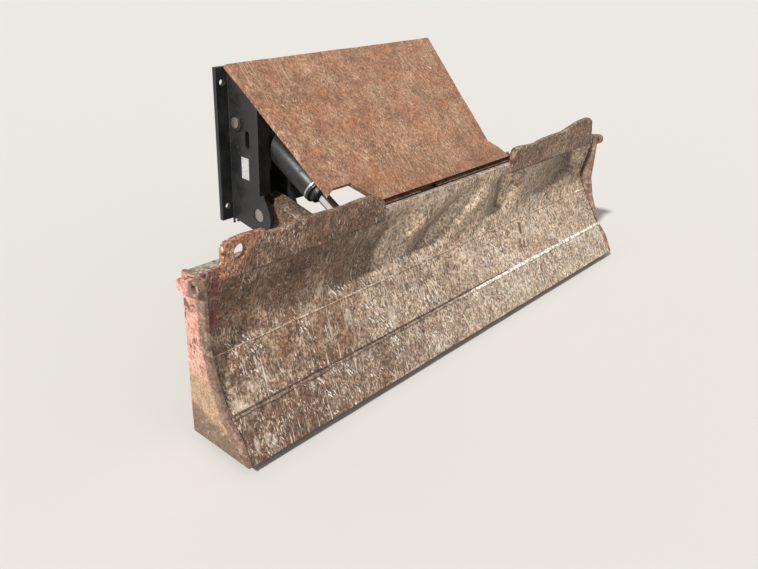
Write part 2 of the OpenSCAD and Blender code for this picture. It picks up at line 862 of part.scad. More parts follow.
// Rod: bright bar with a wide-bored eye
module rod(side) {
  color(bright_steel) placed() on(side) along_cylinder(arm_x) difference() {
    union() {
      axial(rest_len - rod_len, rest_len, rod_d);
      translate([rest_len, 0, 0]) rotate([90, 0, 0]) translate([0, 0, -rod_eye_len / 2])
        cylinder(h = rod_eye_len, r = rod_eye_r);
    }
    translate([rest_len, 0, 0]) rotate([90, 0, 0]) translate([0, 0, -rod_eye_len])
      cylinder(h = 2 * rod_eye_len, d = cyl_pin_d + 2 * rod_eye_room);
  }
}

mount_plate();
side_plate(left);  // side_plate_left
side_plate(right);  // side_plate_right
inner_plate(left);  // inner_plate_left
inner_plate(right);  // inner_plate_right
cross_plate();
rest_bar();
arm_pin(left);  // arm_pin_left
arm_pin(right);  // arm_pin_right
base_pin(left);  // base_pin_left
base_pin(right);  // base_pin_right
mouldboard();
cutting_edge();
end_plate(left);  // end_plate_left
end_plate(right);  // end_plate_right
top_plate();
back_plate();
bottom_plate();
wing_plate_left();
wing_plate_right();
end_lug(left);  // end_lug_left
end_lug(right);  // end_lug_right
arm(left);  // arm_left
arm(right);  // arm_right
arm_tube();
rod_ears(left);  // rod_ears_left
rod_ears(right);  // rod_ears_right
rod_pin_bar(left);  // rod_pin_left
rod_pin_bar(right);  // rod_pin_right
hinge_ears(left);  // hinge_ears_left
hinge_ears(right);  // hinge_ears_right
hinge_pin_bar(left);  // hinge_pin_left
hinge_pin_bar(right);  // hinge_pin_right
guard_plate();
knuckle(left);  // knuckle_left
knuckle(right);  // knuckle_right
guard_stiffeners();
barrel(left);  // barrel_left
barrel(right);  // barrel_right
gland(left);  // gland_left
gland(right);  // gland_right
rod(left);  // rod_left
rod(right);  // rod_right
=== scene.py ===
"""Looks of a dozer blade assembly: worn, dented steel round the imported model's frame."""

import logging
import math
from dataclasses import dataclass
from enum import Enum

import bmesh
import bpy
from mathutils import Matrix, Vector, noise


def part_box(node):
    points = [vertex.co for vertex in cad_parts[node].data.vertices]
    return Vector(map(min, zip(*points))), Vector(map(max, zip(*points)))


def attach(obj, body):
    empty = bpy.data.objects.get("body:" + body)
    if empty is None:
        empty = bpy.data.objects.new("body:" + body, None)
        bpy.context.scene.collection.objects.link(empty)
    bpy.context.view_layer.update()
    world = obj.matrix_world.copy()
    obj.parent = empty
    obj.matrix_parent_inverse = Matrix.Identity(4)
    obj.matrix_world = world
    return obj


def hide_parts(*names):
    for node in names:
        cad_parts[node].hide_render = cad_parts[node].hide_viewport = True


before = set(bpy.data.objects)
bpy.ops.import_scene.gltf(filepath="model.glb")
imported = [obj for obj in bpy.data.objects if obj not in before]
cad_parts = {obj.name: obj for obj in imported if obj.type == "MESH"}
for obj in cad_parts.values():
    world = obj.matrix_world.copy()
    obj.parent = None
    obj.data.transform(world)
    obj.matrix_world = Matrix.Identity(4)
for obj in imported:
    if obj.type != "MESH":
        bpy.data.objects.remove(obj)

Tree, Socket, Material = bpy.types.NodeTree, bpy.types.NodeSocket, bpy.types.Material
Mesh, Vert, Edge = bmesh.types.BMesh, bmesh.types.BMVert, bmesh.types.BMEdge
Spot = tuple[float, float, float]

LOG = logging.getLogger("blade")
MM = 0.001
# The part's origin in the ground frame of part.scad: y from the cutting edge's tip, z up
REACH = 1.0
MOUNT_HEIGHT = 0.72
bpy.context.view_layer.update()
# Rise of the guard plate towards the machine
GUARD_SLOPE = math.radians(41.1)
ALONG_BLADE = Vector((1.0, 0.0, 0.0))
UP = Vector((0.0, 0.0, 1.0))
UP_GUARD = Vector((0.0, math.cos(GUARD_SLOPE), math.sin(GUARD_SLOPE)))
OUT_OF_GUARD = Vector((0.0, -math.sin(GUARD_SLOPE), math.cos(GUARD_SLOPE)))
# The lift cylinder's way from its base pin to its rod pin, and the way across it, as it rests
DOWN_CYLINDER = Vector((0.0, -588.0, -323.0)).normalized()
ACROSS_CYLINDER = Vector((0.0, -323.0, 588.0)).normalized()


class Side(Enum):
    """The two ends of the blade, with the sign of their x."""

    LEFT = -1
    RIGHT = 1

    @property
    def tag(self) -> str:
        """Name ending of the side's nodes."""
        return self.name.lower()


def pair(name: str) -> list[str]:
    """Names a node's left and right copies."""
    return [f"{name}_{side.tag}" for side in Side]


def clamp(value: float) -> float:
    """Keeps a value between 0 and 1."""
    return max(0.0, min(1.0, value))


def ground(x: float, y: float, z: float) -> Vector:
    """Gives a place of the ground frame, in millimetres, in the part's frame, in metres."""
    return Vector((x * MM, y * MM - REACH, z * MM - MOUNT_HEIGHT))


def linear(hex_code: str) -> tuple[float, float, float, float]:
    """Turns an sRGB hex colour to linear.

    Args:
        hex_code: six hex digits, with or without a leading #.

    Returns:
        Linear red, green, blue and an alpha of 1.
    """
    digits = hex_code.lstrip("#")
    parts = [int(digits[i:i + 2], 16) / 255 for i in (0, 2, 4)]
    return (*(c / 12.92 if c <= 0.04045 else ((c + 0.055) / 1.055) ** 2.4 for c in parts), 1.0)


def add(tree: Tree, kind: str, settings: dict | None = None,
        links: dict | None = None) -> bpy.types.Node:
    """Adds a node with its settings and links.

    Args:
        tree: the node tree.
        kind: the node's type name.
        settings: values by input name or position, or by attribute name.
        links: output sockets by input name or position.

    Returns:
        The new node.
    """
    node = tree.nodes.new(kind)
    for name, value in (settings or {}).items():
        if isinstance(name, str) and name in node.bl_rna.properties:
            setattr(node, name, value)
        else:
            node.inputs[name].default_value = value
    for name, socket in (links or {}).items():
        tree.links.new(socket, node.inputs[name])
    return node


@dataclass(frozen=True)
class Cloud:
    """A ragged mask from noise: patches that begin at one level and fill at another."""

    size_mm: float
    low: float
    high: float
    share: float = 1.0
    seed: float = 0.0
    detail: float = 4.0
    rough: float = 0.6

    def mask(self, tree: Tree, place: Socket) -> Socket:
        """Adds the mask's nodes.

        Args:
            tree: the node tree.
            place: coordinates in metres.

        Returns:
            A value from 0 to the cloud's share.
        """
        made = add(tree, "ShaderNodeTexNoise",
                   {"noise_dimensions": "4D", "W": self.seed, "Scale": 1 / (self.size_mm * MM),
                    "Detail": self.detail, "Roughness": self.rough}, {"Vector": place})
        return add(tree, "ShaderNodeMapRange",
                   {"interpolation_type": "SMOOTHSTEP", "From Min": self.low,
                    "From Max": self.high, "To Max": self.share},
                   {"Value": made.outputs["Fac"]}).outputs["Result"]


@dataclass(frozen=True)
class Marks:
    """One family of scratches: drawn-out noise, gathered in blotches."""

    # Size of one mark across, back and up before it is turned, in millimetres
    size_mm: tuple[float, float, float]
    turn_deg: tuple[float, float, float]
    colour: str
    low: float = 0.56
    high: float = 0.64
    share: float = 0.85
    seed: float = 1.0
    blotch: Cloud = Cloud(150.0, 0.38, 0.6, seed=2.0)

    def mask(self, tree: Tree, place: Socket) -> Socket:
        """Adds the marks' nodes.

        Args:
            tree: the node tree.
            place: coordinates in metres.

        Returns:
            A value from 0 to the marks' share.
        """
        turned = add(tree, "ShaderNodeMapping",
                     {"vector_type": "TEXTURE", "Scale": tuple(s * MM for s in self.size_mm),
                      "Rotation": tuple(math.radians(t) for t in self.turn_deg)},
                     {"Vector": place}).outputs["Vector"]
        line = Cloud(1 / MM, self.low, self.high, self.share, self.seed, 2.0, 0.5)
        return add(tree, "ShaderNodeMath", {"operation": "MULTIPLY"},
                   {0: line.mask(tree, turned), 1: self.blotch.mask(tree, place)}).outputs["Value"]


@dataclass(frozen=True)
class Zone:
    """A part of the surface, to one side of a plane with a ragged rim, that has its own colour."""

    # The way across its rim, and where along it the colour begins and is full, in metres
    way: tuple[float, float, float]
    start: float
    full: float
    colour: str
    share: float = 0.9
    ragged: float = 0.1
    # Height in the part's frame at which it begins, and the height over which it comes, in
    # metres
    above: float = -2.0
    fade: float = 0.08
    seed: float = 5.0
    size_mm: float = 45.0

    def mask(self, tree: Tree, place: Socket) -> Socket:
        """Adds the zone's nodes.

        Args:
            tree: the node tree.
            place: coordinates in metres.

        Returns:
            A value from 0 to the zone's share.
        """
        along = add(tree, "ShaderNodeVectorMath", {"operation": "DOT_PRODUCT", 1: self.way},
                    {0: place}).outputs["Value"]
        rough = add(tree, "ShaderNodeTexNoise",
                    {"noise_dimensions": "4D", "W": self.seed, "Scale": 1 / (self.size_mm * MM),
                     "Detail": 5.0, "Roughness": 0.7}, {"Vector": place}).outputs["Fac"]
        moved = add(tree, "ShaderNodeMath", {"operation": "MULTIPLY_ADD", 1: self.ragged},
                    {0: rough, 2: along}).outputs["Value"]
        across = add(tree, "ShaderNodeMapRange",
                     {"interpolation_type": "SMOOTHSTEP", "From Min": self.start + self.ragged / 2,
                      "From Max": self.full + self.ragged / 2, "To Max": self.share},
                     {"Value": moved}).outputs["Result"]
        height = add(tree, "ShaderNodeSeparateXYZ", links={"Vector": place}).outputs["Z"]
        up = add(tree, "ShaderNodeMapRange",
                 {"From Min": self.above, "From Max": self.above + self.fade},
                 {"Value": height}).outputs["Result"]
        return add(tree, "ShaderNodeMath", {"operation": "MULTIPLY"},
                   {0: across, 1: up}).outputs["Value"]


class Coat:
    """A colour in the making: a base that other colours and grain are laid over."""

    def __init__(self, tree: Tree, place: Socket, base: str) -> None:
        """Starts from a plain colour.

        Args:
            tree: the node tree.
            place: coordinates in metres.
            base: hex code of the plain colour.
        """
        self.tree, self.place = tree, place
        self.tone = add(tree, "ShaderNodeRGB").outputs["Color"]
        self.tone.default_value = linear(base)

    def blend(self, colour: str, mask: Socket) -> None:
        """Lays a colour, a hex code, where a mask is above 0."""
        self.tone = add(self.tree, "ShaderNodeMixRGB", {"Color2": linear(colour)},
                        {"Fac": mask, "Color1": self.tone}).outputs["Color"]

    def lay(self, colour: str, shape: Cloud | Marks | Zone) -> None:
        """Lays a colour, a hex code, in the shape of a cloud, a zone or scratches."""
        self.blend(colour, shape.mask(self.tree, self.place))

    def cover(self, upper: "Coat", mask: Socket) -> None:
        """Lays another coat over this one where a mask is above 0."""
        links = {"Fac": mask, "Color1": self.tone, "Color2": upper.tone}
        self.tone = add(self.tree, "ShaderNodeMixRGB", links=links).outputs["Color"]

    def grain(self, size_mm: float, depth: float, drawn: float = 1.0,
              lean_deg: float = 14.0) -> None:
        """Varies the colour's brightness by fine grain.

        Args:
            size_mm: size of a grain.
            depth: how far the brightness swings each way.
            drawn: how many times longer a grain is up the plate than across it.
            lean_deg: how far the long grains lean.
        """
        length = size_mm * MM * drawn
        turned = add(self.tree, "ShaderNodeMapping",
                     {"vector_type": "TEXTURE", "Scale": (size_mm * MM, length, length),
                      "Rotation": (0.0, math.radians(lean_deg), 0.0)}, {"Vector": self.place})
        grain = add(self.tree, "ShaderNodeTexNoise",
                    {"Scale": 1.0, "Detail": 3.0, "Roughness": 0.7},
                    {"Vector": turned.outputs["Vector"]}).outputs["Fac"]
        swing = add(self.tree, "ShaderNodeMapRange",
                    {"From Min": 0.4, "From Max": 0.6, "To Min": 1 - depth, "To Max": 1 + depth},
                    {"Value": grain}).outputs["Result"]
        self.tone = add(self.tree, "ShaderNodeMixRGB", {"blend_type": "MULTIPLY", "Fac": 1.0},
                        {"Color1": self.tone, "Color2": swing}).outputs["Color"]


def surface(tree: Tree, place: Socket, fine_mm: float,
            fine_depth_mm: float, broad_mm: float, broad_depth_mm: float) -> Socket:
    """Roughens a surface at two scales: grain or pits, and hammered dents.

    Args:
        tree: the node tree.
        place: coordinates in metres.
        fine_mm: size of a grain.
        fine_depth_mm: its height.
        broad_mm: size of a dent.
        broad_depth_mm: its depth.

    Returns:
        The bent normal.
    """
    bent = None
    for size, depth in ((broad_mm, broad_depth_mm), (fine_mm, fine_depth_mm)):
        height = add(tree, "ShaderNodeTexNoise",
                     {"Scale": 1 / (size * MM), "Detail": 3.0, "Roughness": 0.55},
                     {"Vector": place}).outputs["Fac"]
        links = {"Height": height} | ({"Normal": bent} if bent else {})
        bent = add(tree, "ShaderNodeBump", {"Strength": 1.0, "Distance": depth * MM},
                   links).outputs["Normal"]
    return bent


@dataclass(frozen=True)
class Finish:
    """A material and the record's slot that it stands for."""

    material: Material
    slot: str


class Recipe:
    """A new material with its object coordinates and its shader at hand."""

    def __init__(self, name: str, slot: str = "") -> None:
        """Makes the material.

        Args:
            name: its name.
            slot: the record's slot that it stands for.
        """
        self.slot = slot
        self.material = bpy.data.materials.new(name)
        self.material.use_nodes = True
        self.tree = self.material.node_tree
        self.shader = self.tree.nodes["Principled BSDF"]
        self.place = add(self.tree, "ShaderNodeTexCoord").outputs["Object"]

    def coat(self, base: str) -> Coat:
        """Starts a coat from a hex code."""
        return Coat(self.tree, self.place, base)

    def close(self, **sockets: Socket) -> Finish:
        """Links the shader's inputs and hands the finish over.

        Args:
            sockets: output sockets by the shader's input name, with _ for a space.

        Returns:
            The finish.
        """
        for name, socket in sockets.items():
            self.tree.links.new(socket, self.shader.inputs[name.replace("_", " ")])
        return Finish(self.material, self.slot)


LEFTWARD, RIGHTWARD, DOWNWARD = (-1.0, 0.0, 0.0), (1.0, 0.0, 0.0), (0.0, 0.0, -1.0)
# Scratches run up the blade in two ways, as earth and stones leave them
UP_LEFT = Marks((5.5, 26.0, 26.0), (0.0, 16.0, 0.0), "#f3e8da", low=0.585, high=0.615, seed=1.0,
                blotch=Cloud(190.0, 0.5, 0.58, seed=2.0, detail=5.0, rough=0.65))
UP_RIGHT = Marks((5.0, 17.0, 17.0), (0.0, -28.0, 0.0), "#f8f1e7", low=0.59, high=0.62,
                 seed=2.5, blotch=Cloud(130.0, 0.52, 0.59, seed=6.0, detail=5.0, rough=0.65))
FINE_UP = Marks((4.5, 10.0, 10.0), (0.0, 8.0, 0.0), "#e9dac7", low=0.59, high=0.62,
                share=0.75, seed=3.5, blotch=Cloud(100.0, 0.46, 0.58, seed=4.0))
LONG_UP = Marks((6.0, 90.0, 90.0), (0.0, 14.0, 0.0), "#eadfd0", low=0.62, high=0.66,
                share=0.8, seed=4.5, blotch=Cloud(150.0, 0.45, 0.58, seed=8.0))
# A dense brushing of faint lines, and soft flecks on the parts that earth seldom rubs
BRUSHED = Marks((4.5, 30.0, 30.0), (0.0, 24.0, 0.0), "#bb9f85", low=0.52, high=0.62,
                share=0.4, seed=7.5, blotch=Cloud(160.0, 0.42, 0.6, seed=3.0))
SOFT = Marks((4.5, 13.0, 13.0), (0.0, -12.0, 0.0), "#c6ae95", low=0.58, high=0.63,
             share=0.6, seed=8.5, blotch=Cloud(90.0, 0.45, 0.6, seed=1.0))
# Dust rubbed on in broad soft patches
SMEAR = Marks((22.0, 40.0, 40.0), (0.0, 18.0, 0.0), "#e0d1bf", low=0.48, high=0.66,
              share=0.7, seed=10.5, blotch=Cloud(150.0, 0.48, 0.6, seed=11.0, detail=6.0))
DARK_UP = Marks((6.5, 34.0, 34.0), (0.0, 20.0, 0.0), "#5c4535", low=0.55, high=0.6,
                share=0.65, seed=9.5, blotch=Cloud(150.0, 0.42, 0.56, seed=7.0))
PITS = Marks((6.0, 14.0, 14.0), (0.0, 10.0, 0.0), "#46342a", low=0.55, high=0.59,
             share=0.75, seed=5.5, blotch=Cloud(70.0, 0.4, 0.55, seed=9.0))
# All that lies on the parts that earth scours, from the lowest to the topmost
SCOURED = (SMEAR, PITS, DARK_UP, BRUSHED, FINE_UP, LONG_UP, UP_LEFT, UP_RIGHT)


@dataclass(frozen=True)
class ScouredSteel:
    """Hot-rolled plate, rusted, scoured by earth and dusty."""

    name: str
    base: str
    dark: str
    rust: str
    dust: str
    slot: str = "rusty_steel"
    rust_share: float = 0.4
    dust_share: float = 0.5
    # How much more dust and scratches lie below this height than above it, with a soft rim
    low_zone: float = -0.30
    low_zone_gain: float = 0.0
    low_zone_rim: float = 0.06
    marks: tuple[Marks, ...] = ()
    zones: tuple[Zone, ...] = ()
    # Depth of the grain, and its two sizes with the share of that depth that each has
    grain: float = 0.58
    grain_sizes: tuple[tuple[float, float], ...] = ((24.0, 0.5), (8.5, 1.0))
    drawn: float = 1.3
    # Roughness, and how far it goes down in clean places and up in dusty ones
    roughness: float = 0.74
    polish: float = 0.12
    dulling: float = 0.14
    metallic: float = 0.1
    # Size and depth of the pits, and of the dents
    pit_mm: tuple[float, float] = (7.0, 0.9)
    dent_size_mm: float = 55.0
    dent_mm: float = 2.5
    # How strongly the mesh attribute of the same name paints highlight and shade on the faces
    scoured: float = 0.0
    # Colours of the painted highlight and of the painted shade
    painted_highlight: str = "#d2bda6"
    dirt: str = "#3d2d24"

    def build(self) -> Finish:
        """Builds the material: clouds of rust, dust, grain, scratches, remains of paint, and
        highlight and shade painted from a mesh attribute.

        Returns:
            The finish.
        """
        recipe = Recipe(self.name, self.slot)
        tree, place = recipe.tree, recipe.place
        coat = recipe.coat(self.base)
        coat.lay(self.dark, Cloud(110.0, 0.4, 0.7, 0.8, 1.0, 6.0))
        coat.lay(self.rust, Cloud(48.0, 0.48, 0.66, self.rust_share, 2.0, 6.0, 0.68))
        height = add(tree, "ShaderNodeSeparateXYZ", links={"Vector": place}).outputs["Z"]
        low = add(tree, "ShaderNodeMapRange",
                  {"interpolation_type": "SMOOTHSTEP",
                   "From Min": self.low_zone + self.low_zone_rim,
                   "From Max": self.low_zone - self.low_zone_rim,
                   "To Min": 1 - self.low_zone_gain, "To Max": 1.0},
                  {"Value": height}).outputs["Result"]
        dusty = Cloud(120.0, 0.42, 0.66, self.dust_share, 3.0, 7.0, 0.75).mask(tree, place)
        dusty = add(tree, "ShaderNodeMath", {"operation": "MULTIPLY"},
                    {0: dusty, 1: low}).outputs["Value"]
        coat.blend(self.dust, dusty)
        for zone in self.zones:
            coat.lay(zone.colour, zone)
        # Painted highlight and shade: paler where the attribute is above 0.5, darker below it
        if self.scoured:
            value = add(tree, "ShaderNodeAttribute", {"attribute_name": "scoured"}).outputs["Fac"]
            for to, colour in ((1.0, self.painted_highlight), (0.0, self.dirt)):
                coat.blend(colour, add(
                    tree, "ShaderNodeMapRange",
                    {"From Min": 0.5, "From Max": to, "To Max": self.scoured},
                    {"Value": value}).outputs["Result"])
        for size, share in self.grain_sizes:
            coat.grain(size, share * self.grain, self.drawn)
        for marks in self.marks:
            coat.blend(marks.colour, add(
                tree, "ShaderNodeMath", {"operation": "MULTIPLY"},
                {0: marks.mask(tree, place), 1: low}).outputs["Value"])
        gloss = add(tree, "ShaderNodeMapRange",
                    {"To Min": self.roughness - self.polish,
                     "To Max": self.roughness + self.dulling}, {"Value": dusty}).outputs["Result"]
        recipe.shader.inputs["Metallic"].default_value = self.metallic
        return recipe.close(
            Base_Color=coat.tone, Roughness=gloss,
            Normal=surface(tree, place, *self.pit_mm, self.dent_size_mm, self.dent_mm))


@dataclass(frozen=True)
class EndPaint:
    """An end plate's outside: faded red enamel, worn off its front rim and its foot."""

    name: str = "faded_red_enamel"
    slot: str = "faded_red_paint"
    paint: str = "#c9907f"
    pale: str = "#d8ab9b"
    deep: str = "#a4564a"
    rim: str = "#7f6353"
    rim_pale: str = "#a58a76"
    rim_dark: str = "#57443a"
    foot: str = "#a98c6e"
    foot_dark: str = "#6a5545"
    chip: str = "#6f4e40"
    # The outer faces start at this distance from the middle, in metres
    outside: float = 1.238
    # Front rim: it leaves the tip steeply and then rises more gently. Foot and top of each
    # stretch above the ground and how far it goes back, in millimetres
    rim_line: tuple[tuple[float, float, float], ...] = ((35.0, 175.0, 104.0),
                                                        (175.0, 400.0, 76.0))
    # Paint begins this far behind the rim and is whole there, where the line wanders by a noise
    paint_begins: float = 0.044
    paint_whole: float = 0.058
    wander: float = 0.03
    wander_mm: float = 18.0
    bare_roughness: float = 0.78
    paint_roughness: float = 0.6

    def front_distance(self, recipe: Recipe) -> Socket:
        """Adds nodes that measure the distance from the plate's front rim.

        Args:
            recipe: the material in the making.

        Returns:
            How far a place lies behind the rim, in metres.
        """
        tree = recipe.tree
        axes = add(tree, "ShaderNodeSeparateXYZ", links={"Vector": recipe.place})
        behind = axes.outputs["Y"]
        for low, high, setback in self.rim_line:
            rim = add(tree, "ShaderNodeMapRange",
                      {"From Min": low * MM - MOUNT_HEIGHT, "From Max": high * MM - MOUNT_HEIGHT,
                       "To Max": setback * MM}, {"Value": axes.outputs["Z"]}).outputs["Result"]
            behind = add(tree, "ShaderNodeMath", {"operation": "SUBTRACT"},
                         {0: behind, 1: rim}).outputs["Value"]
        return add(tree, "ShaderNodeMath", {"operation": "ADD", 1: REACH},
                   {0: behind}).outputs["Value"]

    def build(self) -> Finish:
        """Builds the material: bare rim and foot, chipped paint above, bare inner face.

        Returns:
            The finish.
        """
        recipe = Recipe(self.name, self.slot)
        tree, place = recipe.tree, recipe.place
        bare = recipe.coat(self.rim)
        bare.lay(self.rim_pale, Cloud(30.0, 0.46, 0.62, 0.8, 1.0, 6.0))
        bare.lay(self.rim_dark, Cloud(22.0, 0.5, 0.66, 0.8, 2.0, 6.0))
        body = recipe.coat(self.paint)
        body.lay(self.pale, Cloud(60.0, 0.42, 0.62, 0.9, 3.0, 6.0))
        body.lay(self.deep, Cloud(26.0, 0.54, 0.66, 0.6, 4.0, 6.0))
        # Worn patches, small chips, and earth on the foot
        body.lay(self.chip, Cloud(42.0, 0.53, 0.58, 0.95, 5.0, 8.0, 0.7))
        body.lay(self.chip, Cloud(9.0, 0.6, 0.66, 0.85, 6.0, 4.0))
        for zone in (Zone(DOWNWARD, 0.40, 0.47, self.foot, 0.95, 0.12, seed=7.0),
                     Zone((0.0, 0.17, -1.0), 0.43, 0.47, self.foot_dark, 0.85, 0.1, seed=8.0)):
            body.lay(zone.colour, zone)
        rag = add(tree, "ShaderNodeTexNoise", {"Scale": 1 / (self.wander_mm * MM), "Detail": 5.0},
                  {"Vector": place}).outputs["Fac"]
        away = add(tree, "ShaderNodeMath", {"operation": "MULTIPLY_ADD", 1: self.wander},
                   {0: rag, 2: self.front_distance(recipe)}).outputs["Value"]
        painted = add(tree, "ShaderNodeMapRange",
                      {"interpolation_type": "SMOOTHSTEP", "From Min": self.paint_begins,
                       "From Max": self.paint_whole}, {"Value": away}).outputs["Result"]
        x = add(tree, "ShaderNodeSeparateXYZ", links={"Vector": place}).outputs["X"]
        x = add(tree, "ShaderNodeMath", {"operation": "ABSOLUTE"}, {0: x}).outputs["Value"]
        outer = add(tree, "ShaderNodeMapRange",
                    {"From Min": self.outside, "From Max": self.outside + 4 * MM},
                    {"Value": x}).outputs["Result"]
        share = add(tree, "ShaderNodeMath", {"operation": "MULTIPLY"},
                    {0: painted, 1: outer}).outputs["Value"]
        bare.cover(body, share)
        for size, depth in ((26.0, 0.14), (8.0, 0.26)):
            bare.grain(size, depth)
        bare.lay(SOFT.colour, SOFT)
        gloss = add(tree, "ShaderNodeMapRange",
                    {"To Min": self.bare_roughness, "To Max": self.paint_roughness},
                    {"Value": share}).outputs["Result"]
        return recipe.close(Base_Color=bare.tone, Roughness=gloss,
                            Normal=surface(tree, place, 6.0, 0.8, 40.0, 2.0))


@dataclass(frozen=True)
class Enamel:
    """Sprayed enamel with dust in clouds and chips that show primer or rust."""

    name: str
    base: str
    faded: str
    chip: str
    slot: str = "black_paint"
    chip_share: float = 0.35
    roughness: float = 0.5

    def build(self) -> Finish:
        """Builds the material: faded clouds and ragged chips.

        Returns:
            The finish.
        """
        recipe = Recipe(self.name, self.slot)
        tree, place = recipe.tree, recipe.place
        coat = recipe.coat(self.base)
        faded = Cloud(70.0, 0.4, 0.66, 0.9, 1.0, 6.0, 0.7).mask(tree, place)
        coat.blend(self.faded, faded)
        coat.lay(self.chip, Cloud(24.0, 0.6 - 0.1 * self.chip_share,
                                  0.66 - 0.08 * self.chip_share, 0.85, 2.0, 7.0, 0.75))
        coat.grain(6.0, 0.18)
        gloss = add(tree, "ShaderNodeMapRange",
                    {"To Min": self.roughness - 0.06, "To Max": self.roughness + 0.25},
                    {"Value": faded}).outputs["Result"]
        return recipe.close(Base_Color=coat.tone, Roughness=gloss,
                            Normal=surface(tree, place, 5.0, 0.25, 60.0, 0.8))


@dataclass(frozen=True)
class BareMetal:
    """Turned or plated steel: metallic, with stains and turning marks."""

    name: str
    base: str
    stain: str
    roughness: float
    slot: str = "pin_steel"
    stain_share: float = 0.4
    metallic: float = 1.0

    def build(self) -> Finish:
        """Builds the material: stains in clouds and a varied gloss.

        Returns:
            The finish.
        """
        recipe = Recipe(self.name, self.slot)
        tree, place = recipe.tree, recipe.place
        coat = recipe.coat(self.base)
        stained = Cloud(22.0, 0.66 - 0.3 * self.stain_share, 0.8 - 0.2 * self.stain_share,
                        1.0, 1.0, 6.0, 0.7).mask(tree, place)
        coat.blend(self.stain, stained)
        coat.grain(3.0, 0.08)
        gloss = add(tree, "ShaderNodeMapRange",
                    {"To Min": self.roughness, "To Max": min(1.0, self.roughness + 0.35)},
                    {"Value": stained}).outputs["Result"]
        recipe.shader.inputs["Metallic"].default_value = self.metallic
        return recipe.close(Base_Color=coat.tone, Roughness=gloss,
                            Normal=surface(tree, place, 4.0, 0.12, 30.0, 0.2))


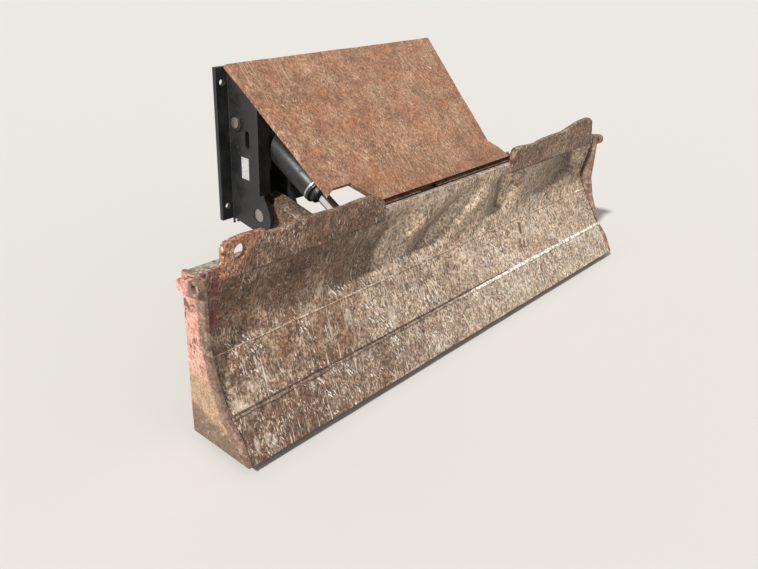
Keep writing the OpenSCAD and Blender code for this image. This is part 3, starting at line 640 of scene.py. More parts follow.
class Finishes:
    """The finishes of the assembly, each built once."""

    def __init__(self) -> None:
        """Builds every material."""
        brown = {"base": "#80604a", "dark": "#4e382b", "rust": "#8f5c3d", "dust": "#bfab94"}
        # Hot-rolled mouldboard plate, with maroon paint left in its sheltered upper left corner
        self.board = ScouredSteel(
            "scoured_mouldboard_plate", **brown, rust_share=0.45, dust_share=0.75,
            # Painted highlight and shade on the buckles' sides, from the mesh attribute
            low_zone_gain=0.6, scoured=0.95,
            marks=SCOURED,
            zones=(Zone(RIGHTWARD, -0.9, 0.5, "#c6ae94", 0.45, 1.1, size_mm=110.0),
                   Zone(RIGHTWARD, -0.75, -0.2, "#c6b29c", 0.35, 0.6, size_mm=90.0),
                   # Painted shade: darker over the upper left of the sheet, where it rolls away
                   # from the light
                   Zone(LEFTWARD, 0.4, 0.55, "#4a3629", 0.5, 0.25, -0.29),
                   Zone(LEFTWARD, 1.13, 1.19, "#74403f", 0.85, 0.14, -0.36),)).build()
        # Wear-resistant cutting edge, ground pale by the earth
        self.edge = ScouredSteel(
            "ground_cutting_edge", base="#795a47", dark="#4f392d", rust="#85593f",
            dust="#c2b098", slot="worn_edge_steel", rust_share=0.35, dust_share=0.55,
            marks=SCOURED,
            zones=(Zone(LEFTWARD, 0.45, 1.1, "#67493a", 0.75, 0.7, size_mm=150.0),
                   Zone(RIGHTWARD, -0.95, 0.5, "#cfbda6", 0.6, 0.8, size_mm=150.0))).build()
        # Battered spill plates, with red-brown rust round the left lifting eye, laid paler there
        # also as painted highlight on the lit, bent lug
        self.wing = ScouredSteel(
            "battered_spill_plate", base="#745643", dark="#513a2e", rust="#8a5a3e",
            dust="#ad9883", rust_share=0.4, dust_share=0.25, marks=(PITS, BRUSHED, SOFT, FINE_UP),
            # Rust round the left eye, partly painted highlight on the lit, bent lug
            zones=(Zone((-1.0, 0.0, 1.0), 0.985, 1.02, "#a0694f", 0.8, 0.1),)).build()
        # Guard plate, walked on and evenly brown
        self.guard = ScouredSteel(
            "walked_on_guard_plate", base="#9c7055", dark="#7d5843", rust="#a96f4b",
            dust="#c3a285", slot="guard_steel", rust_share=0.5, dust_share=0.45, grain=0.34,
            dent_mm=1.5, marks=(
                Marks((6.0, 40.0, 40.0), (0.0, 0.0, 35.0), "#dcc3a8", low=0.6, high=0.64,
                      share=0.7, seed=6.0, blotch=Cloud(150.0, 0.48, 0.6, seed=2.0)),
                Marks((5.0, 16.0, 16.0), (0.0, 0.0, -30.0), "#e6d2bc", low=0.6, high=0.64,
                      share=0.65, seed=7.0, blotch=Cloud(110.0, 0.48, 0.6, seed=5.0)),
                Marks((6.0, 220.0, 220.0), (0.0, 0.0, -8.0), "#cdb093", low=0.62, high=0.66,
                      share=0.6, seed=9.0, blotch=Cloud(250.0, 0.42, 0.58, seed=6.0)),
                Marks((5.0, 12.0, 12.0), (0.0, 0.0, 10.0), "#6e4c3a", low=0.57, high=0.61,
                      share=0.6, seed=8.0, blotch=Cloud(90.0, 0.36, 0.58, seed=3.0)))).build()
        # Rusty plate and bar of the arms and ears
        self.hidden = ScouredSteel(
            "rusty_weldment", base="#64503f", dark="#42342b", rust="#7d573f", dust="#8c7b68",
            rust_share=0.6, dust_share=0.5, marks=(SOFT,), dent_mm=1.5).build()
        # Top of the blade under a layer of dust
        self.top = ScouredSteel(
            "dusty_top_plate", base="#8c8172", dark="#6a5f53", rust="#96795f", dust="#aea392",
            slot="dusty_steel", rust_share=0.4, dust_share=0.9, dent_mm=1.0).build()
        # Weld metal: scoured bright on the front, and dark beads that paint shade in grooves, in
        # corners and under edges and also draw two scars
        self.crease = ScouredSteel(
            "polished_weld_metal", base="#bda995", dark="#9c8673", rust="#a98468",
            dust="#d8cab8", dust_share=0.9, metallic=0.25, dent_mm=0.6).build()
        self.bead = ScouredSteel(
            "scoured_weld_metal", base="#b3a08d", dark="#8a7564", rust="#a98468", dust="#d8cab8",
            slot="worn_edge_steel", dust_share=0.9, metallic=0.25, dent_mm=0.6, zones=(
                Zone(LEFTWARD, -0.3, 0.5, "#80695a", 0.85, 0.5, size_mm=90.0),
                Zone(RIGHTWARD, -0.2, 0.4, "#efe6d8", 0.85, 0.3, size_mm=90.0))).build()
        # Dark beads: painted shade in grooves, corners and under edges, and two scars
        self.shade_and_scar_bead = ScouredSteel(
            "shade_and_scar_weld_metal", base="#55453a", dark="#3c3029", rust="#6b4c39",
            dust="#7a6a59", rust_share=0.5, dust_share=0.4, dent_mm=0.6).build()
        # Near-black stuff for the end lugs' holes, painted shade deep in them
        self.earth = ScouredSteel(
            "packed_damp_earth", base="#241d18", dark="#171310", rust="#2e241d", dust="#372c24",
            dust_share=0.4, metallic=0.0, roughness=0.85, dent_mm=0.6).build()
        self.end = EndPaint().build()
        self.black = Enamel("black_chassis_enamel", base="#1a1a1b", faded="#2a2928",
                            chip="#40362e", chip_share=0.2, roughness=0.45).build()
        self.pin = BareMetal("turned_pin_steel", base="#a9a39b", stain="#6b5a4c",
                             roughness=0.38).build()
        # Gland steel, dark as painted shade on its front face
        self.gland = BareMetal("painted_shade_gland_steel", base="#3a3835", stain="#1f1d1b",
                               roughness=0.42, slot="worn_edge_steel", stain_share=0.6,
                               metallic=0.7).build()
        self.zinc = BareMetal("zinc_plated_steel", base="#c2c0b8", stain="#8d8675",
                              roughness=0.35, stain_share=0.4).build()
        self.chrome = BareMetal("hard_chrome", base="#d6d8da", stain="#9a9a98", roughness=0.12,
                                slot="hard_chrome", stain_share=0.15).build()
        self.decal = Enamel("blank_decal_film", base="#c4c4c0", faded="#adada8", chip="#7f7c76",
                            slot="dusty_steel", chip_share=0.2, roughness=0.5).build()


def put(name: str, data: bpy.types.ID) -> bpy.types.Object:
    """Adds an object to the scene.

    Args:
        name: its name.
        data: its mesh, light or camera.

    Returns:
        The object, at the origin.
    """
    thing = bpy.data.objects.new(name, data)
    bpy.context.scene.collection.objects.link(thing)
    return thing


def finish_object(name: str, mesh: Mesh, finish: Finish, body: str, node: str | None = None,
                  smooth_angle: float = 35.0) -> None:
    """Turns a bmesh into a scene object, at the origin, that rides on a body.

    Args:
        name: the piece's name.
        mesh: the finished mesh in the part's frame; it is freed.
        finish: its material and slot.
        body: the body that it moves with.
        node: the CAD node that it replaces, if any.
        smooth_angle: edges sharper than this many degrees stay sharp.
    """
    # A large flat face keeps its own normal: only faces over 0.3 of its area smooth it
    flat, limit, joined = math.radians(0.5), math.radians(smooth_angle), 1.3
    area = {face: face.calc_area() for face in mesh.faces}
    for face in mesh.faces:
        face.smooth = any(flat < edge.calc_face_angle(0.0) < limit
                          and sum(area[f] for f in edge.link_faces) > joined * area[face]
                          for edge in face.edges)
    for edge in mesh.edges:
        edge.smooth = len(edge.link_faces) == 2 and edge.calc_face_angle(0.0) < limit
    data = bpy.data.meshes.new(name)
    mesh.to_mesh(data)
    mesh.free()
    data.materials.append(finish.material)
    piece = put(name, data)
    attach(piece, body)
    if node:
        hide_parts(node)
    LOG.info("%s: %d faces", name, len(data.polygons))


def cad_copy(node: str) -> Mesh:
    """Copies a CAD node's mesh, merged and with its flat faces whole.

    Args:
        node: the node's name.

    Returns:
        A new bmesh in the part's frame.
    """
    mesh = bmesh.new()
    mesh.from_mesh(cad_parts[node].data)
    bmesh.ops.remove_doubles(mesh, verts=mesh.verts, dist=0.01 * MM)
    bmesh.ops.dissolve_limit(mesh, angle_limit=math.radians(0.6), use_dissolve_boundaries=False,
                             verts=mesh.verts, edges=mesh.edges, delimit={"NORMAL"})
    bmesh.ops.recalc_face_normals(mesh, faces=mesh.faces)
    return mesh


def bevel(mesh: Mesh, edges: list[Edge], width: float) -> None:
    """Rounds edges in two steps; width is in metres."""
    bmesh.ops.bevel(mesh, geom=edges, offset=width, offset_type="OFFSET", affect="EDGES",
                    segments=2, profile=0.5, material=-1, clamp_overlap=True)


def round_edges(mesh: Mesh, width: float, sharp_deg: float = 35.0) -> None:
    """Rounds the edges sharper than an angle; width is in metres."""
    bevel(mesh, [e for e in mesh.edges if len(e.link_faces) == 2
                 and e.calc_face_angle(0.0) > math.radians(sharp_deg)], width)


def slice_up(mesh: Mesh, step: float, axes: tuple[int, ...] = (0, 2)) -> None:
    """Cuts a mesh by planes so that it can bend.

    Args:
        mesh: the mesh to cut.
        step: distance between the planes in metres.
        axes: axes along which the planes follow each other.
    """
    for axis in axes:
        low = min(v.co[axis] for v in mesh.verts)
        high = max(v.co[axis] for v in mesh.verts)
        count = int((high - low) / step)
        normal = Vector([float(i == axis) for i in range(3)])
        for i in range(1, count + 1):
            place = normal * (low + (high - low) * i / (count + 1))
            bmesh.ops.bisect_plane(mesh, geom=mesh.verts[:] + mesh.edges[:] + mesh.faces[:],
                                   plane_co=place, plane_no=normal, dist=1e-6)


def across_matrix(place: Vector, axis: Vector) -> Matrix:
    """Gives the matrix that turns z to an axis and moves to a place."""
    return Matrix.Translation(place) @ axis.to_track_quat("Z", "Y").to_matrix().to_4x4()


def edges_at(verts: list[Vert]) -> list[Edge]:
    """Finds the edges that meet at vertices, each once and in the same order on every run."""
    return list(dict.fromkeys(edge for vert in verts for edge in vert.link_edges))


class Piece:
    """One scene piece that gathers several shapes of a body and a finish."""

    def __init__(self, name: str, body: str, finish: Finish) -> None:
        """Starts with an empty mesh."""
        self.name, self.body, self.finish = name, body, finish
        self.mesh = bmesh.new()

    def place(self) -> None:
        """Closes the piece and puts it in the scene."""
        bmesh.ops.recalc_face_normals(self.mesh, faces=self.mesh.faces)
        finish_object(self.name, self.mesh, self.finish, self.body, smooth_angle=40.0)


class Welds(Piece):
    """Weld beads: rippled half-sunk runs and rings."""

    rim_segments = 8
    # How far a ripple, and the unevenness on top of it, swells a bead, as shares of its radius
    ripple_height = 0.13
    run_swell = 0.22
    ring_swell = 0.2
    # How quickly the small and the large unevenness change, per metre
    small_changes = 60
    large_changes = 11

    def __init__(self, name: str, body: str, finish: Finish, ripple: float = 8 * MM) -> None:
        """Starts empty; ripple is the length of one ripple in metres."""
        super().__init__(name, body, finish)
        self.ripple = ripple

    def run(self, start: Vector, end: Vector, radius: float, uneven: float = 0.0) -> None:
        """Lays a straight bead.

        Args:
            start: where it starts.
            end: where it ends.
            radius: its radius in millimetres.
            uneven: how far it swells and shrinks along its length, as a share.
        """
        way = end - start
        steps = max(2, round(way.length / (self.ripple / 2)))
        old = len(self.mesh.verts)
        made = bmesh.ops.create_circle(self.mesh, cap_ends=True, segments=self.rim_segments,
                                       radius=radius * MM, matrix=across_matrix(start, way))
        bmesh.ops.spin(self.mesh, geom=made["verts"][0].link_faces[:], cent=start, axis=way,
                       dvec=way / steps, angle=0.0, steps=steps, use_merge=False,
                       use_duplicate=False)
        along = way.normalized()
        for vert in self.mesh.verts[old:]:
            s = (vert.co - start).dot(along)
            middle = start + along * s
            swell = 1 + self.ripple_height * math.cos(2 * math.pi * s / self.ripple)
            swell += (self.run_swell * noise.noise(middle * self.small_changes)
                      + uneven * noise.noise(middle * self.large_changes))
            vert.co = middle + (vert.co - middle) * swell

    def line(self, ends: tuple[Spot, Spot], radius: float, uneven: float = 0.0) -> None:
        """Lays a bead between two spots of the ground frame; all in millimetres."""
        self.run(ground(*ends[0]), ground(*ends[1]), radius, uneven)

    def uprights(self, places: list[float], y: float, heights: tuple[float, float],
                 radius: float) -> None:
        """Lays upright beads in the ground frame; all in millimetres."""
        for x in places:
            self.line(((x, y, heights[0]), (x, y, heights[1])), radius)

    def ring(self, centre: Vector, axis: Vector, ring_radius: float, radius: float) -> None:
        """Lays a bead round a bar.

        Args:
            centre: middle of the ring.
            axis: the bar's axis.
            ring_radius: radius of the bar in millimetres.
            radius: radius of the bead in millimetres.
        """
        ring_radius, radius = ring_radius * MM, radius * MM
        out = axis.orthogonal().normalized()
        steps = max(24, round(2 * math.pi * ring_radius / (self.ripple / 2) / 2) * 2)
        old = len(self.mesh.verts)
        made = bmesh.ops.create_circle(
            self.mesh, cap_ends=False, segments=self.rim_segments, radius=radius,
            matrix=across_matrix(centre + out * ring_radius, axis.cross(out)))
        bmesh.ops.spin(self.mesh, geom=made["verts"] + edges_at(made["verts"]), cent=centre,
                       axis=axis, dvec=Vector(), angle=2 * math.pi, steps=steps, use_merge=True,
                       use_duplicate=False)
        for vert in self.mesh.verts[old:]:
            flat = vert.co - centre
            flat -= axis * flat.dot(axis)
            middle = centre + flat.normalized() * ring_radius
            turn = math.atan2(flat.dot(axis.cross(out)), flat.dot(out))
            swell = (1 + self.ripple_height * math.cos(turn * steps / 2)
                     + self.ring_swell * noise.noise(middle * self.small_changes))
            vert.co = middle + (vert.co - middle) * swell


class Fittings(Piece):
    """Small turned and cut parts: discs, bolts, nipples, rings and plates."""

    def disc(self, place: Vector, axis: Vector, radius: float, depth: float,
             segments: int = 32, top: float | None = None, rounding: float = 0.6 * MM) -> None:
        """Adds a round or six-sided bar.

        Args:
            place: the middle of its foot.
            axis: the way it stands.
            radius: its radius in metres.
            depth: its length in metres.
            segments: number of its sides.
            top: radius of its far end, where that differs.
            rounding: rounding of its edges in metres.
        """
        made = bmesh.ops.create_cone(
            self.mesh, cap_ends=True, cap_tris=False, segments=segments, radius1=radius,
            radius2=radius if top is None else top, depth=depth,
            matrix=across_matrix(place + axis * (depth / 2), axis))
        rims = [e for e in edges_at(made["verts"]) if e.calc_face_angle(0.0) > math.radians(30)]
        bevel(self.mesh, rims, rounding)

    def bolt(self, place: Vector, axis: Vector, size: float) -> None:
        """Adds a hexagon bolt's head on a washer; size is the thread's diameter in metres."""
        self.disc(place, axis, size * 1.1, size * 0.18)
        self.disc(place + axis * size * 0.18, axis, size * 0.9, size * 0.62, 6)

    def nipple(self, place: Vector, axis: Vector) -> None:
        """Adds a grease nipple: a hexagon, a neck and a ball head.

        Args:
            place: the middle of its foot.
            axis: the way it stands.
        """
        self.disc(place - axis * 1 * MM, axis, 6 * MM, 5 * MM, 6)
        self.disc(place + axis * 4 * MM, axis, 3 * MM, 6 * MM, 16, rounding=0.4 * MM)
        self.disc(place + axis * 9 * MM, axis, 3.8 * MM, 4 * MM, 16, 2.6 * MM, 0.8 * MM)

    def ring(self, place: Vector, axis: Vector, inner: float, outer: float,
             depth: float) -> None:
        """Adds a flat ring.

        Args:
            place: the middle of its foot.
            axis: the way it stands.
            inner: radius of its hole in metres.
            outer: its radius in metres.
            depth: its height in metres.
        """
        side = axis.orthogonal().normalized()
        corners = [(inner, 0.0), (outer, 0.0), (outer, depth), (inner, depth)]
        verts = [self.mesh.verts.new(place + side * r + axis * h) for r, h in corners]
        face = self.mesh.faces.new(verts)
        edges = list(face.edges)
        bmesh.ops.delete(self.mesh, geom=[face], context="FACES_ONLY")
        bmesh.ops.spin(self.mesh, geom=verts + edges, cent=place, axis=axis, dvec=Vector(),
                       angle=2 * math.pi, steps=48, use_merge=True, use_duplicate=False)

    def plate(self, centre: Vector, size: tuple[float, float, float], turn: Matrix,
              rounding: float = 1.5 * MM) -> None:
        """Adds a flat bar.

        Args:
            centre: its middle.
            size: its length, width and thickness in metres, along its own x, y and z.
            turn: its turn, a 3 by 3 matrix.
            rounding: rounding of its edges in metres.
        """
        matrix = Matrix.Translation(centre) @ turn.to_4x4() @ Matrix.Diagonal((*size, 1.0))
        made = bmesh.ops.create_cube(self.mesh, size=1.0, matrix=matrix)
        bevel(self.mesh, edges_at(made["verts"]), rounding)


@dataclass
class Studio:
    """Camera, floor and lights."""

    # The photograph's camera: place, heading, roll and lens
    place: tuple[float, float, float] = (-2.3914, -2.4746, 0.8756)
    look: tuple[float, float, float] = (0.68288, 0.58273, -0.44058)
    roll_deg: float = 2.59
    focal_px: float = 748.8
    frame_px: float = 758.0
    sensor_mm: float = 36.0
    clip_end: float = 60.0
    # The sun stands to the left, a little in front of the blade
    sun_way: tuple[float, float, float] = (-0.71, -0.17, 0.68)
    sun_angle_deg: float = 3.5
    sun_strength: float = 3.8
    sky_strength: float = 0.4
    sky_tone: tuple[float, float, float, float] = (1.0, 0.985, 0.96, 1.0)
    # What the camera and glossy faces see behind the part
    backdrop_tone: tuple[float, float, float, float] = (0.9, 0.9, 0.9, 1.0)
    floor_tone: str = "#d6d3cd"
    floor_roughness: float = 0.9
    floor_half_width: float = 30.0

    def build_camera(self) -> None:
        """Sets the camera where the photograph was taken."""
        data = bpy.data.cameras.new("camera")
        data.sensor_width = self.sensor_mm
        data.sensor_fit = "HORIZONTAL"
        data.lens = self.sensor_mm * self.focal_px / self.frame_px
        data.clip_end = self.clip_end
        camera = put("camera", data)
        turn = Vector(self.look).to_track_quat("-Z", "Y").to_matrix()
        turn = turn @ Matrix.Rotation(math.radians(self.roll_deg), 3, "Z")
        camera.matrix_world = Matrix.Translation(self.place) @ turn.to_4x4()
        bpy.context.scene.camera = camera

    def build_floor(self) -> None:
        """Lays a pale plain floor at ground level."""
        mesh = bmesh.new()
        bmesh.ops.create_grid(mesh, x_segments=1, y_segments=1, size=self.floor_half_width,
                              matrix=Matrix.Translation((0, 0, -MOUNT_HEIGHT)))
        data = bpy.data.meshes.new("floor")
        mesh.to_mesh(data)
        mesh.free()
        recipe = Recipe("pale_floor")
        recipe.shader.inputs["Base Color"].default_value = linear(self.floor_tone)
        recipe.shader.inputs["Roughness"].default_value = self.floor_roughness
        data.materials.append(recipe.material)
        put("floor", data)

    def build_lights(self) -> None:
        """Sets a broad key from the left, as the sun stood, and a pale even sky."""
        data = bpy.data.lights.new("key", "SUN")
        data.energy = self.sun_strength
        data.angle = math.radians(self.sun_angle_deg)
        key = put("key", data)
        key.matrix_world = Vector(self.sun_way).to_track_quat("Z", "Y").to_matrix().to_4x4()
        world = bpy.data.worlds.new("studio")
        bpy.context.scene.world = world
        world.use_nodes = True
        tree = world.node_tree
        sky = tree.nodes["Background"]
        sky.inputs["Color"].default_value = self.sky_tone
        sky.inputs["Strength"].default_value = self.sky_strength
        seen = add(tree, "ShaderNodeBackground", {"Color": self.backdrop_tone, "Strength": 1.0})
        ray = add(tree, "ShaderNodeLightPath")
        most = add(tree, "ShaderNodeMath", {"operation": "MAXIMUM"},
                   {0: ray.outputs["Is Camera Ray"], 1: ray.outputs["Is Glossy Ray"]})
        mix = add(tree, "ShaderNodeMixShader", links={
            0: most.outputs["Value"], 1: sky.outputs["Background"],
            2: seen.outputs["Background"]})
        tree.links.new(mix.outputs["Shader"], tree.nodes["World Output"].inputs["Surface"])

    def build(self) -> None:
        """Builds the studio."""
        self.build_camera()
        self.build_floor()
        self.build_lights()
        bpy.context.scene.view_settings.view_transform = "Standard"


@dataclass(frozen=True)
class Buckle:
    """One buckle in the mouldboard's upper half: a slanting valley, deepest low down."""

    # Place across the blade of the valley line at mid height, in metres
    x: float
    # How far the valley line leans across per metre of height
    lean: float
    # Length of its near side and of its far side, in metres
    near: float
    far: float
    # Share of the room behind the sheet that it takes
    share: float = 1.0
    # Heights above the ground where it starts, is deepest, begins to fade and ends, in metres
    foot: float = 0.345
    deepest: float = 0.402
    fades: float = 0.50
    top: float = 0.612
    # How far those heights rise per metre across
    rise: float = 0.0
    mid: float = 0.45

    def side_of(self, x: float, z: float) -> float:
        """Gives how far a place lies across the blade from the valley line, in metres."""
        return x - self.x - self.lean * (z - self.mid)

    def share_at(self, x: float, z: float) -> float:
        """Gives how deep the buckle is at a place.

        Args:
            x: place across the blade.
            z: height above the ground.

        Returns:
            Share of the room behind the sheet, zero outside the buckle.
        """
        s = self.side_of(x, z)
        across = max(0.0, 1 - abs(s) / (self.near if s < 0 else self.far))
        lift = self.rise * (x - self.x)
        up = clamp((z - self.foot - lift) / (self.deepest - self.foot))
        down = clamp((self.top - z) / (self.top - self.fades))
        return self.share * across * up * up * (3 - 2 * up) * down


@dataclass(frozen=True)
class Span:
    """A stretch along an axis that fades in and out, in metres."""

    low: float
    high: float
    fade_in: float
    fade_out: float

    def share_at(self, place: float) -> float:
        """Gives 1 well inside the stretch and 0 outside it."""
        return clamp(min((place - self.low) / self.fade_in, (self.high - place) / self.fade_out))


@dataclass(frozen=True)
class Wear:
    """How a plate's edges are rounded and how its surface wanders."""

    # Both in metres
    rounding: float
    depth: float
    # How quickly the wandering changes, per metre
    scale: float = 9.0
    # A second wandering is this much finer and has this share of the depth
    finer: float = 4.0
    finer_share: float = 0.35
    # Share of both that is left from front to back
    front_to_back: float = 0.4

    def push(self, place: Vector) -> Vector:
        """Gives how far wear moves a corner of the plate.

        Args:
            place: where the corner is.

        Returns:
            Its way, in metres.
        """
        push = noise.noise_vector(place * self.scale) * self.depth
        push += noise.noise_vector(place * self.scale * self.finer) * self.depth * self.finer_share
        push.y *= self.front_to_back
        return push


@dataclass
class BladeSkin:
    """Mouldboard, cutting edge, end plates, wing plates and the other plates of the blade."""

    finishes: Finishes
    buckles: tuple[Buckle, ...] = (
        Buckle(x=-0.375, lean=0.74, near=0.34, far=0.16),
        Buckle(x=-0.01, lean=1.5, near=0.24, far=0.15),
        Buckle(x=0.47, lean=0.14, near=0.20, far=0.075, foot=0.38, deepest=0.43, fades=0.55),
        Buckle(x=1.13, lean=0.1, near=0.56, far=0.07, share=0.95, foot=0.445, deepest=0.485,
               fades=0.56, rise=0.155),
    )
    # Buckles together take this share of the room behind the sheet at most
    most_share: float = 0.96
    # Half the width of the pale and dark strips' meeting line in a valley, in metres
    valley: float = 0.02
    # Between the buckles the sheet stands out by this much, over these stretches across the
    # blade and above the ground
    bulge: float = 18 * MM
    bulge_across: Span = Span(-0.75, 1.18, 0.3, 0.25)
    bulge_up: Span = Span(0.345, 0.612, 0.07, 0.09)
    # Waves of the sheet: height, how many there are per metre across and up, and a start that
    # tells them apart. They fade towards the end plates over this distance
    waves: tuple[tuple[float, float, float, float], ...] = ((2.0 * MM, 7.0, 9.0, 0.0),
                                                            (0.8 * MM, 22.0, 22.0, 4.0))
    waves_fade: float = 0.06
    # The sheet's front and back stay in front of the box section's back plate
    sheet_front_limit: float = 0.264 - REACH
    sheet_back_limit: float = 0.2685 - REACH
    # The top plate follows the sheet in front of this line
    top_follows: float = 0.25 - REACH
    # Distances between the cuts that let the plates bend
    sheet_step: float = 14 * MM
    plate_step: float = 22 * MM
    guard_step: float = 40 * MM
    # The right wing plate's top is bent back at its inner end, forward beside it and back again
    # at its outer end. How far, and where: distances from its inner end
    tab: tuple[float, float] = (0.016, 0.05)
    swell: tuple[float, float, float] = (0.020, 0.13, 0.07)
    roll: tuple[float, float, float] = (0.010, 0.45, 0.2)
    # The guard plate is held straight at its hinge and waves freely further up
    guard_held: float = 0.03
    guard_fade: float = 0.1
    guard_wave: float = 3.5
    guard_changes: float = 5.5
    # Side and height corners of the weld bead between mouldboard and end plate, dark as painted
    # shade, in millimetres
    corner: tuple[tuple[float, float], ...] = ((202, 618), (202, 592), (226, 480), (233, 410),
                                               (207, 336), (98, 172))

    def __post_init__(self) -> None:
        """Reads the mouldboard's width."""
        self.half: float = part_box("mouldboard")[1][0]

    def push_in(self, vert: Vert, limit: float) -> None:
        """Moves a corner with the buckled sheet.

        Args:
            vert: the corner.
            limit: the y that it comes near but never passes.
        """
        x, z = vert.co.x, vert.co.z + MOUNT_HEIGHT
        out = self.bulge * (self.bulge_across.share_at(x) * self.bulge_up.share_at(z))
        share = min(self.most_share, sum(b.share_at(x, z) for b in self.buckles))
        room = max(0.0, limit - vert.co.y) + out
        inside = clamp((self.half - abs(x)) / self.waves_fade)
        waves = sum(high * noise.noise(Vector((x * across, start, z * up)))
                    for high, across, up, start in self.waves)
        vert.co.y += share * room - out + waves * inside * (1 - share)

    def painted_light_at(self, x: float, z: float) -> float:
        """Gives the painted highlight and shade of the sheet at a place.

        Args:
            x: place across the blade.
            z: height above the ground.

        Returns:
            1, a painted highlight, where a buckle's side faces the left end and the light, 0, a
            painted shade, on its other side, and 0.5 between the buckles.
        """
        turned = sum(b.share_at(x, z) * math.tanh(b.side_of(x, z) / self.valley)
                     for b in self.buckles)
        return 0.5 + 0.5 * max(-1.0, min(1.0, turned))

    def build_mouldboard(self) -> None:
        """Copies the mouldboard, cuts it fine and pushes its buckles in."""
        mesh = cad_copy("mouldboard")
        slice_up(mesh, self.sheet_step)
        bmesh.ops.triangulate(mesh, faces=[f for f in mesh.faces if len(f.verts) > 4])
        mesh.normal_update()
        # Painted highlight and shade per corner: buckle sides that face the light from the left
        # end paler, the others darker
        layer = mesh.verts.layers.float.new("scoured")
        for vert in mesh.verts:
            vert[layer] = self.painted_light_at(vert.co.x, vert.co.z + MOUNT_HEIGHT)
            front = vert.normal.y < 0
            self.push_in(vert, self.sheet_front_limit if front else self.sheet_back_limit)
        finish_object("mouldboard_sheet", mesh, self.finishes.board, "blade", "mouldboard", 50.0)

    def curl(self, place: Vector) -> float:
        """Gives how far the right wing plate is bent at a place.

        Args:
            place: a place on the plate.

        Returns:
            How far back it is bent, in metres, less than 0 where it is bent forward.
        """
        low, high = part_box("wing_plate_right")
        s = place.x - low[0]
        tab = self.tab[0] * max(0.0, 1 - s / self.tab[1])
        swell = self.swell[0] * math.exp(-((s - self.swell[1]) / self.swell[2]) ** 2)
        roll = self.roll[0] * max(0.0, (s - self.roll[1]) / self.roll[2])
        return (tab - swell + roll) * clamp((place.z - low[2]) / (high[2] - low[2])) ** 1.5

    def build_top(self) -> None:
        """Copies the top plate and moves its front edge back with the buckled sheet."""
        mesh = cad_copy("top_plate")
        slice_up(mesh, self.plate_step, (0,))
        for vert in mesh.verts:
            if vert.co.y < self.top_follows:
                self.push_in(vert, self.sheet_back_limit)
        round_edges(mesh, 2 * MM)
        finish_object("top_plate_dusty", mesh, self.finishes.top, "blade", "top_plate")

    def build_guard(self) -> None:
        """Copies the guard plate and lets it wave a little away from its hinge."""
        mesh = cad_copy("guard_plate")
        slice_up(mesh, self.guard_step)
        round_edges(mesh, 3 * MM)
        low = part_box("guard_plate")[0]
        for vert in mesh.verts:
            free = clamp((vert.co.y - low[1] - self.guard_held) / self.guard_fade)
            wave = noise.noise(vert.co * self.guard_changes) * self.guard_wave * MM
            vert.co += OUT_OF_GUARD * (wave * free)
        finish_object("guard_plate_walked", mesh, self.finishes.guard, "guard", "guard_plate")

    def build_worn(self, node: str, finish: Finish, wear: Wear, curled: bool = False) -> None:
        """Copies a plate with rounded, unevenly worn edges.

        Args:
            node: the CAD node that it stands for.
            finish: its material and slot.
            wear: how it is worn.
            curled: whether it is bent as the right wing plate is.
        """
        mesh = cad_copy(node)
        slice_up(mesh, self.plate_step)
        round_edges(mesh, wear.rounding)
        for vert in mesh.verts:
            bend = self.curl(vert.co) if curled else 0.0
            vert.co += wear.push(vert.co)
            vert.co.y += bend
        finish_object(f"{node}_worn", mesh, finish, "blade", node)

    def build_welds(self) -> None:
        """Lays the beads that show on the blade's front."""
        low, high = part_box("mouldboard")
        left, right = low[0] / MM, high[0] / MM
        bright = Welds("front_beads", "blade", self.finishes.bead)
        bright.line(((left, 93.6, 167.2), (50, 93.6, 167.2)), 5.5, 0.9)
        bright.line(((50, 94, 167.6), (right, 94, 167.6)), 7.5, 0.5)
        bright.place()
        crease = Welds("crease_bead", "blade", self.finishes.crease)
        crease.line(((left, 206.5, 337), (right, 206.5, 337)), 3.2, 0.6)
        crease.place()
        dark = Welds("dark_beads", "blade", self.finishes.shade_and_scar_bead)
        # A dark bead paints the shade of a groove along the upper side of the cutting edge's weld
        dark.line(((left, 98.6, 174.6), (350, 98.6, 174.6)), 3.4, 0.9)
        # Two scars in the lower slope
        dark.line(((545, 168.0, 283), (566, 193.5, 321)), 4, 0.6)
        dark.line(((505, 134.0, 231), (523, 155.0, 263)), 3.5, 0.6)
        for side in Side:
            low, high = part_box(f"wing_plate_{side.tag}")
            # A dark bead paints the shadow line under the wing plate's lower front edge
            dark.run(Vector((low[0], low[1] + 1 * MM, low[2] + 1 * MM)),
                     Vector((high[0], low[1] + 1 * MM, low[2] + 1 * MM)), 3)
            # Inner corner between the mouldboard and the end plate, dark as painted shade
            x = side.value * 1226
            for start, end in zip(self.corner, self.corner[1:]):
                dark.line(((x, *start), (x, *end)), 4)
            # Round the bar of the end lug, above and below, dark as painted shadow
            x = side.value * 1246
            for z in (626, 580):
                dark.line(((x, 190, z), (x, 250, z - 11)), 3.5)
        dark.place()

    def build_eye_dirt(self) -> None:
        """Puts near-black discs in the end lugs' holes as painted shade."""
        for side in Side:
            dirt = Fittings(f"lug_hole_dirt_{side.tag}", "blade", self.finishes.earth)
            # A near-black disc: painted shade deep in the hole
            dirt.disc(ground(side.value * 1244, 187, 604), ALONG_BLADE * side.value,
                      13.5 * MM, 7 * MM)
            dirt.place()

    def build(self) -> None:
        """Builds the blade's pieces in order."""
        f = self.finishes
        self.build_mouldboard()
        self.build_worn("cutting_edge", f.edge, Wear(3 * MM, 1.8 * MM))
        for side in Side:
            self.build_worn(f"end_plate_{side.tag}", f.end, Wear(4.5 * MM, 1.8 * MM))
            self.build_worn(f"wing_plate_{side.tag}", f.wing,
                            Wear(4.5 * MM, 6 * MM, scale=7.0), curled=side is Side.RIGHT)
            self.build_worn(f"end_lug_{side.tag}", f.end, Wear(4 * MM, 1.0 * MM))
        self.build_top()
        self.build_guard()
        self.build_welds()
        self.build_eye_dirt()
        LOG.info("blade skin built")


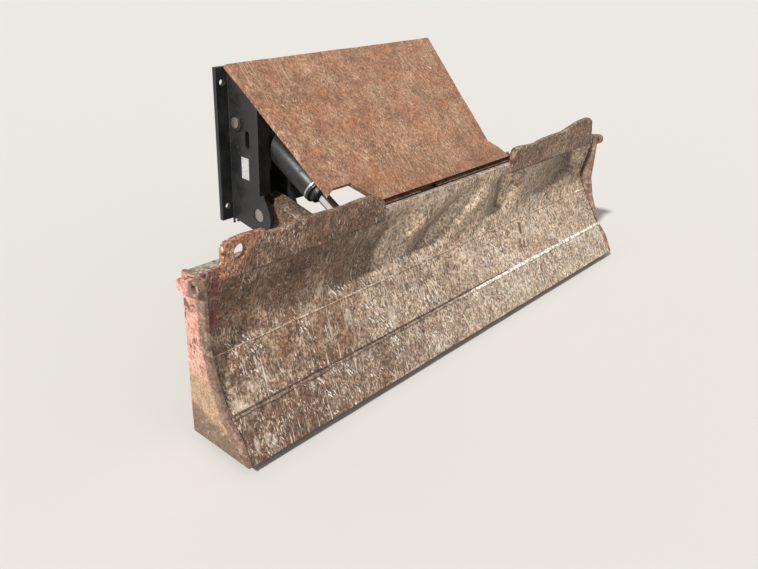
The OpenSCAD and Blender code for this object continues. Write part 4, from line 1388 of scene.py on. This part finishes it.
@dataclass
class Weldment:
    """Plain parts that keep their CAD shape, with rounded edges."""

    finishes: Finishes

    def build(self) -> None:
        """Copies each node with softened edges and its finish."""
        f = self.finishes
        table = [
            # Nodes, body, finish, rounding in millimetres
            (["mount_plate", "cross_plate", "rest_bar", *pair("side_plate"),
              *pair("inner_plate")], "bracket", f.black, 1.5),
            (pair("arm_pin") + pair("base_pin"), "bracket", f.pin, 2.0),
            (["back_plate", "bottom_plate", "arm_tube"], "blade", f.hidden, 2.0),
            (pair("arm"), "blade", f.hidden, 2.5),
            (pair("rod_ears") + pair("hinge_ears"), "blade", f.hidden, 1.5),
            (pair("rod_pin"), "blade", f.pin, 2.0),
            (pair("hinge_pin"), "blade", f.pin, 1.5),
            (["guard_stiffeners", *pair("knuckle")], "guard", f.hidden, 1.5),
        ]
        for barrel, gland, rod in zip(pair("barrel"), pair("gland"), pair("rod")):
            table.append(([barrel], barrel, f.black, 2.0))
            table.append(([gland], barrel, f.gland, 1.5))
            table.append(([rod], rod, f.chrome, 1.5))
        for nodes, body, finish, rounding in table:
            for node in nodes:
                mesh = cad_copy(node)
                round_edges(mesh, rounding * MM)
                finish_object(f"{node}_dressed", mesh, finish, body, node)
        LOG.info("weldment dressed")


@dataclass
class Trim:
    """Weld beads, grease nipples, pin keepers, rings and the blank decal."""

    finishes: Finishes
    # Side and height of the cylinders and pins, and places along a cylinder and out from its
    # line, all in the ground frame's millimetres
    cylinder_x: float = 420.0
    base_pin: tuple[float, float] = (933.0, 825.0)
    rod_pin: tuple[float, float] = (345.0, 502.0)
    pivot: tuple[float, float] = (820.0, 452.0)
    base_eye_out: float = 40.0
    rod_eye_out: float = 42.0
    barrel_end: float = 422.5
    ports: tuple[float, float] = (94.0, 394.0)
    ports_out: float = 53.0

    def build_cylinders(self) -> None:
        """Adds nipples, port beads and, at each barrel's end, a pale ring that paints the rim's
        highlight.
        """
        f = self.finishes
        for side, barrel, rod in zip(Side, pair("barrel"), pair("rod")):
            base_eye = ground(side.value * self.cylinder_x, *self.base_pin)
            rod_eye = ground(side.value * self.cylinder_x, *self.rod_pin)
            small = Fittings(f"base_nipple_{side.tag}", barrel, f.zinc)
            small.nipple(base_eye + ACROSS_CYLINDER * self.base_eye_out * MM, ACROSS_CYLINDER)
            # A pale ring at the barrel's end paints the highlight on its rim
            small.ring(base_eye + DOWN_CYLINDER * self.barrel_end * MM, DOWN_CYLINDER, 50 * MM,
                       55.2 * MM, 6.5 * MM)
            small.place()
            small = Fittings(f"rod_nipple_{side.tag}", rod, f.zinc)
            small.nipple(rod_eye + ACROSS_CYLINDER * self.rod_eye_out * MM, ACROSS_CYLINDER)
            small.place()
            beads = Welds(f"port_beads_{side.tag}", barrel, f.black)
            for s in self.ports:
                beads.ring(base_eye + DOWN_CYLINDER * s * MM + ACROSS_CYLINDER * self.ports_out
                           * MM, ACROSS_CYLINDER, 18, 3.5)
            beads.place()

    def build_blade(self) -> None:
        """Adds beads behind the blade, hub nipples and the split pins of the guard's hinge."""
        f = self.finishes
        beads = Welds("back_beads", "blade", f.hidden, 20 * MM)
        small = Fittings("blade_small_parts", "blade", f.zinc)
        for side in Side:
            sx = side.value
            # Round the arm's end
            beads.uprights([sx * 390, sx * 450], 285, (168, 424), 6)
            for z in (165, 426):
                beads.line(((sx * 388, 285, z), (sx * 452, 285, z)), 6)
            beads.ring(ground(sx * 389, 560, 372), ALONG_BLADE, 60, 6)
            # Beside the rod ears, the hinge ears and the end plate
            beads.uprights([sx * x for x in (371, 385, 455, 469)], 285, (436, 540), 4)
            beads.uprights([sx * 722, sx * 744], 285, (432, 604), 4)
            beads.uprights([sx * 1227], 284, (128, 604), 4)
            small.nipple(ground(sx * self.cylinder_x, self.pivot[0], self.pivot[1] + 60), UP)
            small.disc(ground(sx * 747, 337.7, 566.7), UP, 2 * MM, 40 * MM, 12)
        beads.place()
        small.place()

    def build_bracket(self) -> None:
        """Adds the bracket's beads, the keepers of its pins and the blank decal."""
        f = self.finishes
        beads = Welds("bracket_beads", "bracket", f.black, 20 * MM)
        keepers = Fittings("pin_keepers", "bracket", f.pin)
        turn = ALONG_BLADE.to_track_quat("Z", "Y").to_matrix()
        for side in Side:
            sx = side.value
            # Both faces of the inner plate and of the side plate, the boss and the base pin
            beads.uprights([sx * 340, sx * 360], 980, (378, 900), 5)
            beads.uprights([sx * 480, sx * 500], 980, (378, 1015), 5)
            beads.ring(ground(sx * 480, 806, 963.4), ALONG_BLADE, 30, 4.5)
            beads.ring(ground(sx * 500, *self.base_pin), ALONG_BLADE, 33, 4)
            beads.line(((sx * 340, 825, 615), (sx * 340, 978, 615)), 4)
            for (y, z), reach in ((self.pivot, 30), (self.base_pin, 22.5)):
                low = z - reach - 8
                keepers.plate(ground(sx * 335.5, y, low), (60 * MM, 30 * MM, 9 * MM), turn)
                for dy in (-18, 18):
                    keepers.bolt(ground(sx * 331, y + dy, low), ALONG_BLADE * -sx, 8 * MM)
        beads.line(((-338, 980, 615), (338, 980, 615)), 5)
        beads.place()
        keepers.place()
        decal = Fittings("blank_decal", "bracket", f.decal)
        decal.plate(ground(-500.3, 892, 640), (46 * MM, 92 * MM, 0.8 * MM), turn, 0.2 * MM)
        decal.place()

    def build_guard(self) -> None:
        """Adds the beads under the guard plate."""
        beads = Welds("guard_beads", "guard", self.finishes.hidden, 20 * MM)
        foot = ground(0, 312.5, 612.5) - OUT_OF_GUARD * 20 * MM
        # Along both sides of the stiffeners, then along the hinge
        for x in (-206, -194, 194, 206):
            start = foot + Vector((x * MM, 0, 0))
            beads.run(start + UP_GUARD * 112 * MM, start + UP_GUARD * 383 * MM, 4)
        for side in Side:
            for s in (-13, 17):
                row = foot + UP_GUARD * s * MM
                beads.run(row + ALONG_BLADE * side.value * 0.062,
                          row + ALONG_BLADE * side.value * 0.60, 4.5)
        beads.place()

    def build(self) -> None:
        """Builds the trim in order."""
        self.build_cylinders()
        self.build_blade()
        self.build_bracket()
        self.build_guard()


def main() -> None:
    """Builds the scene in order."""
    logging.basicConfig(level=logging.INFO)
    # Without a seed, the noise that wears the plates starts from the clock
    noise.seed_set(3)
    Studio().build()
    finishes = Finishes()
    BladeSkin(finishes).build()
    Weldment(finishes).build()
    Trim(finishes).build()


if __name__ == "__main__":
    main()
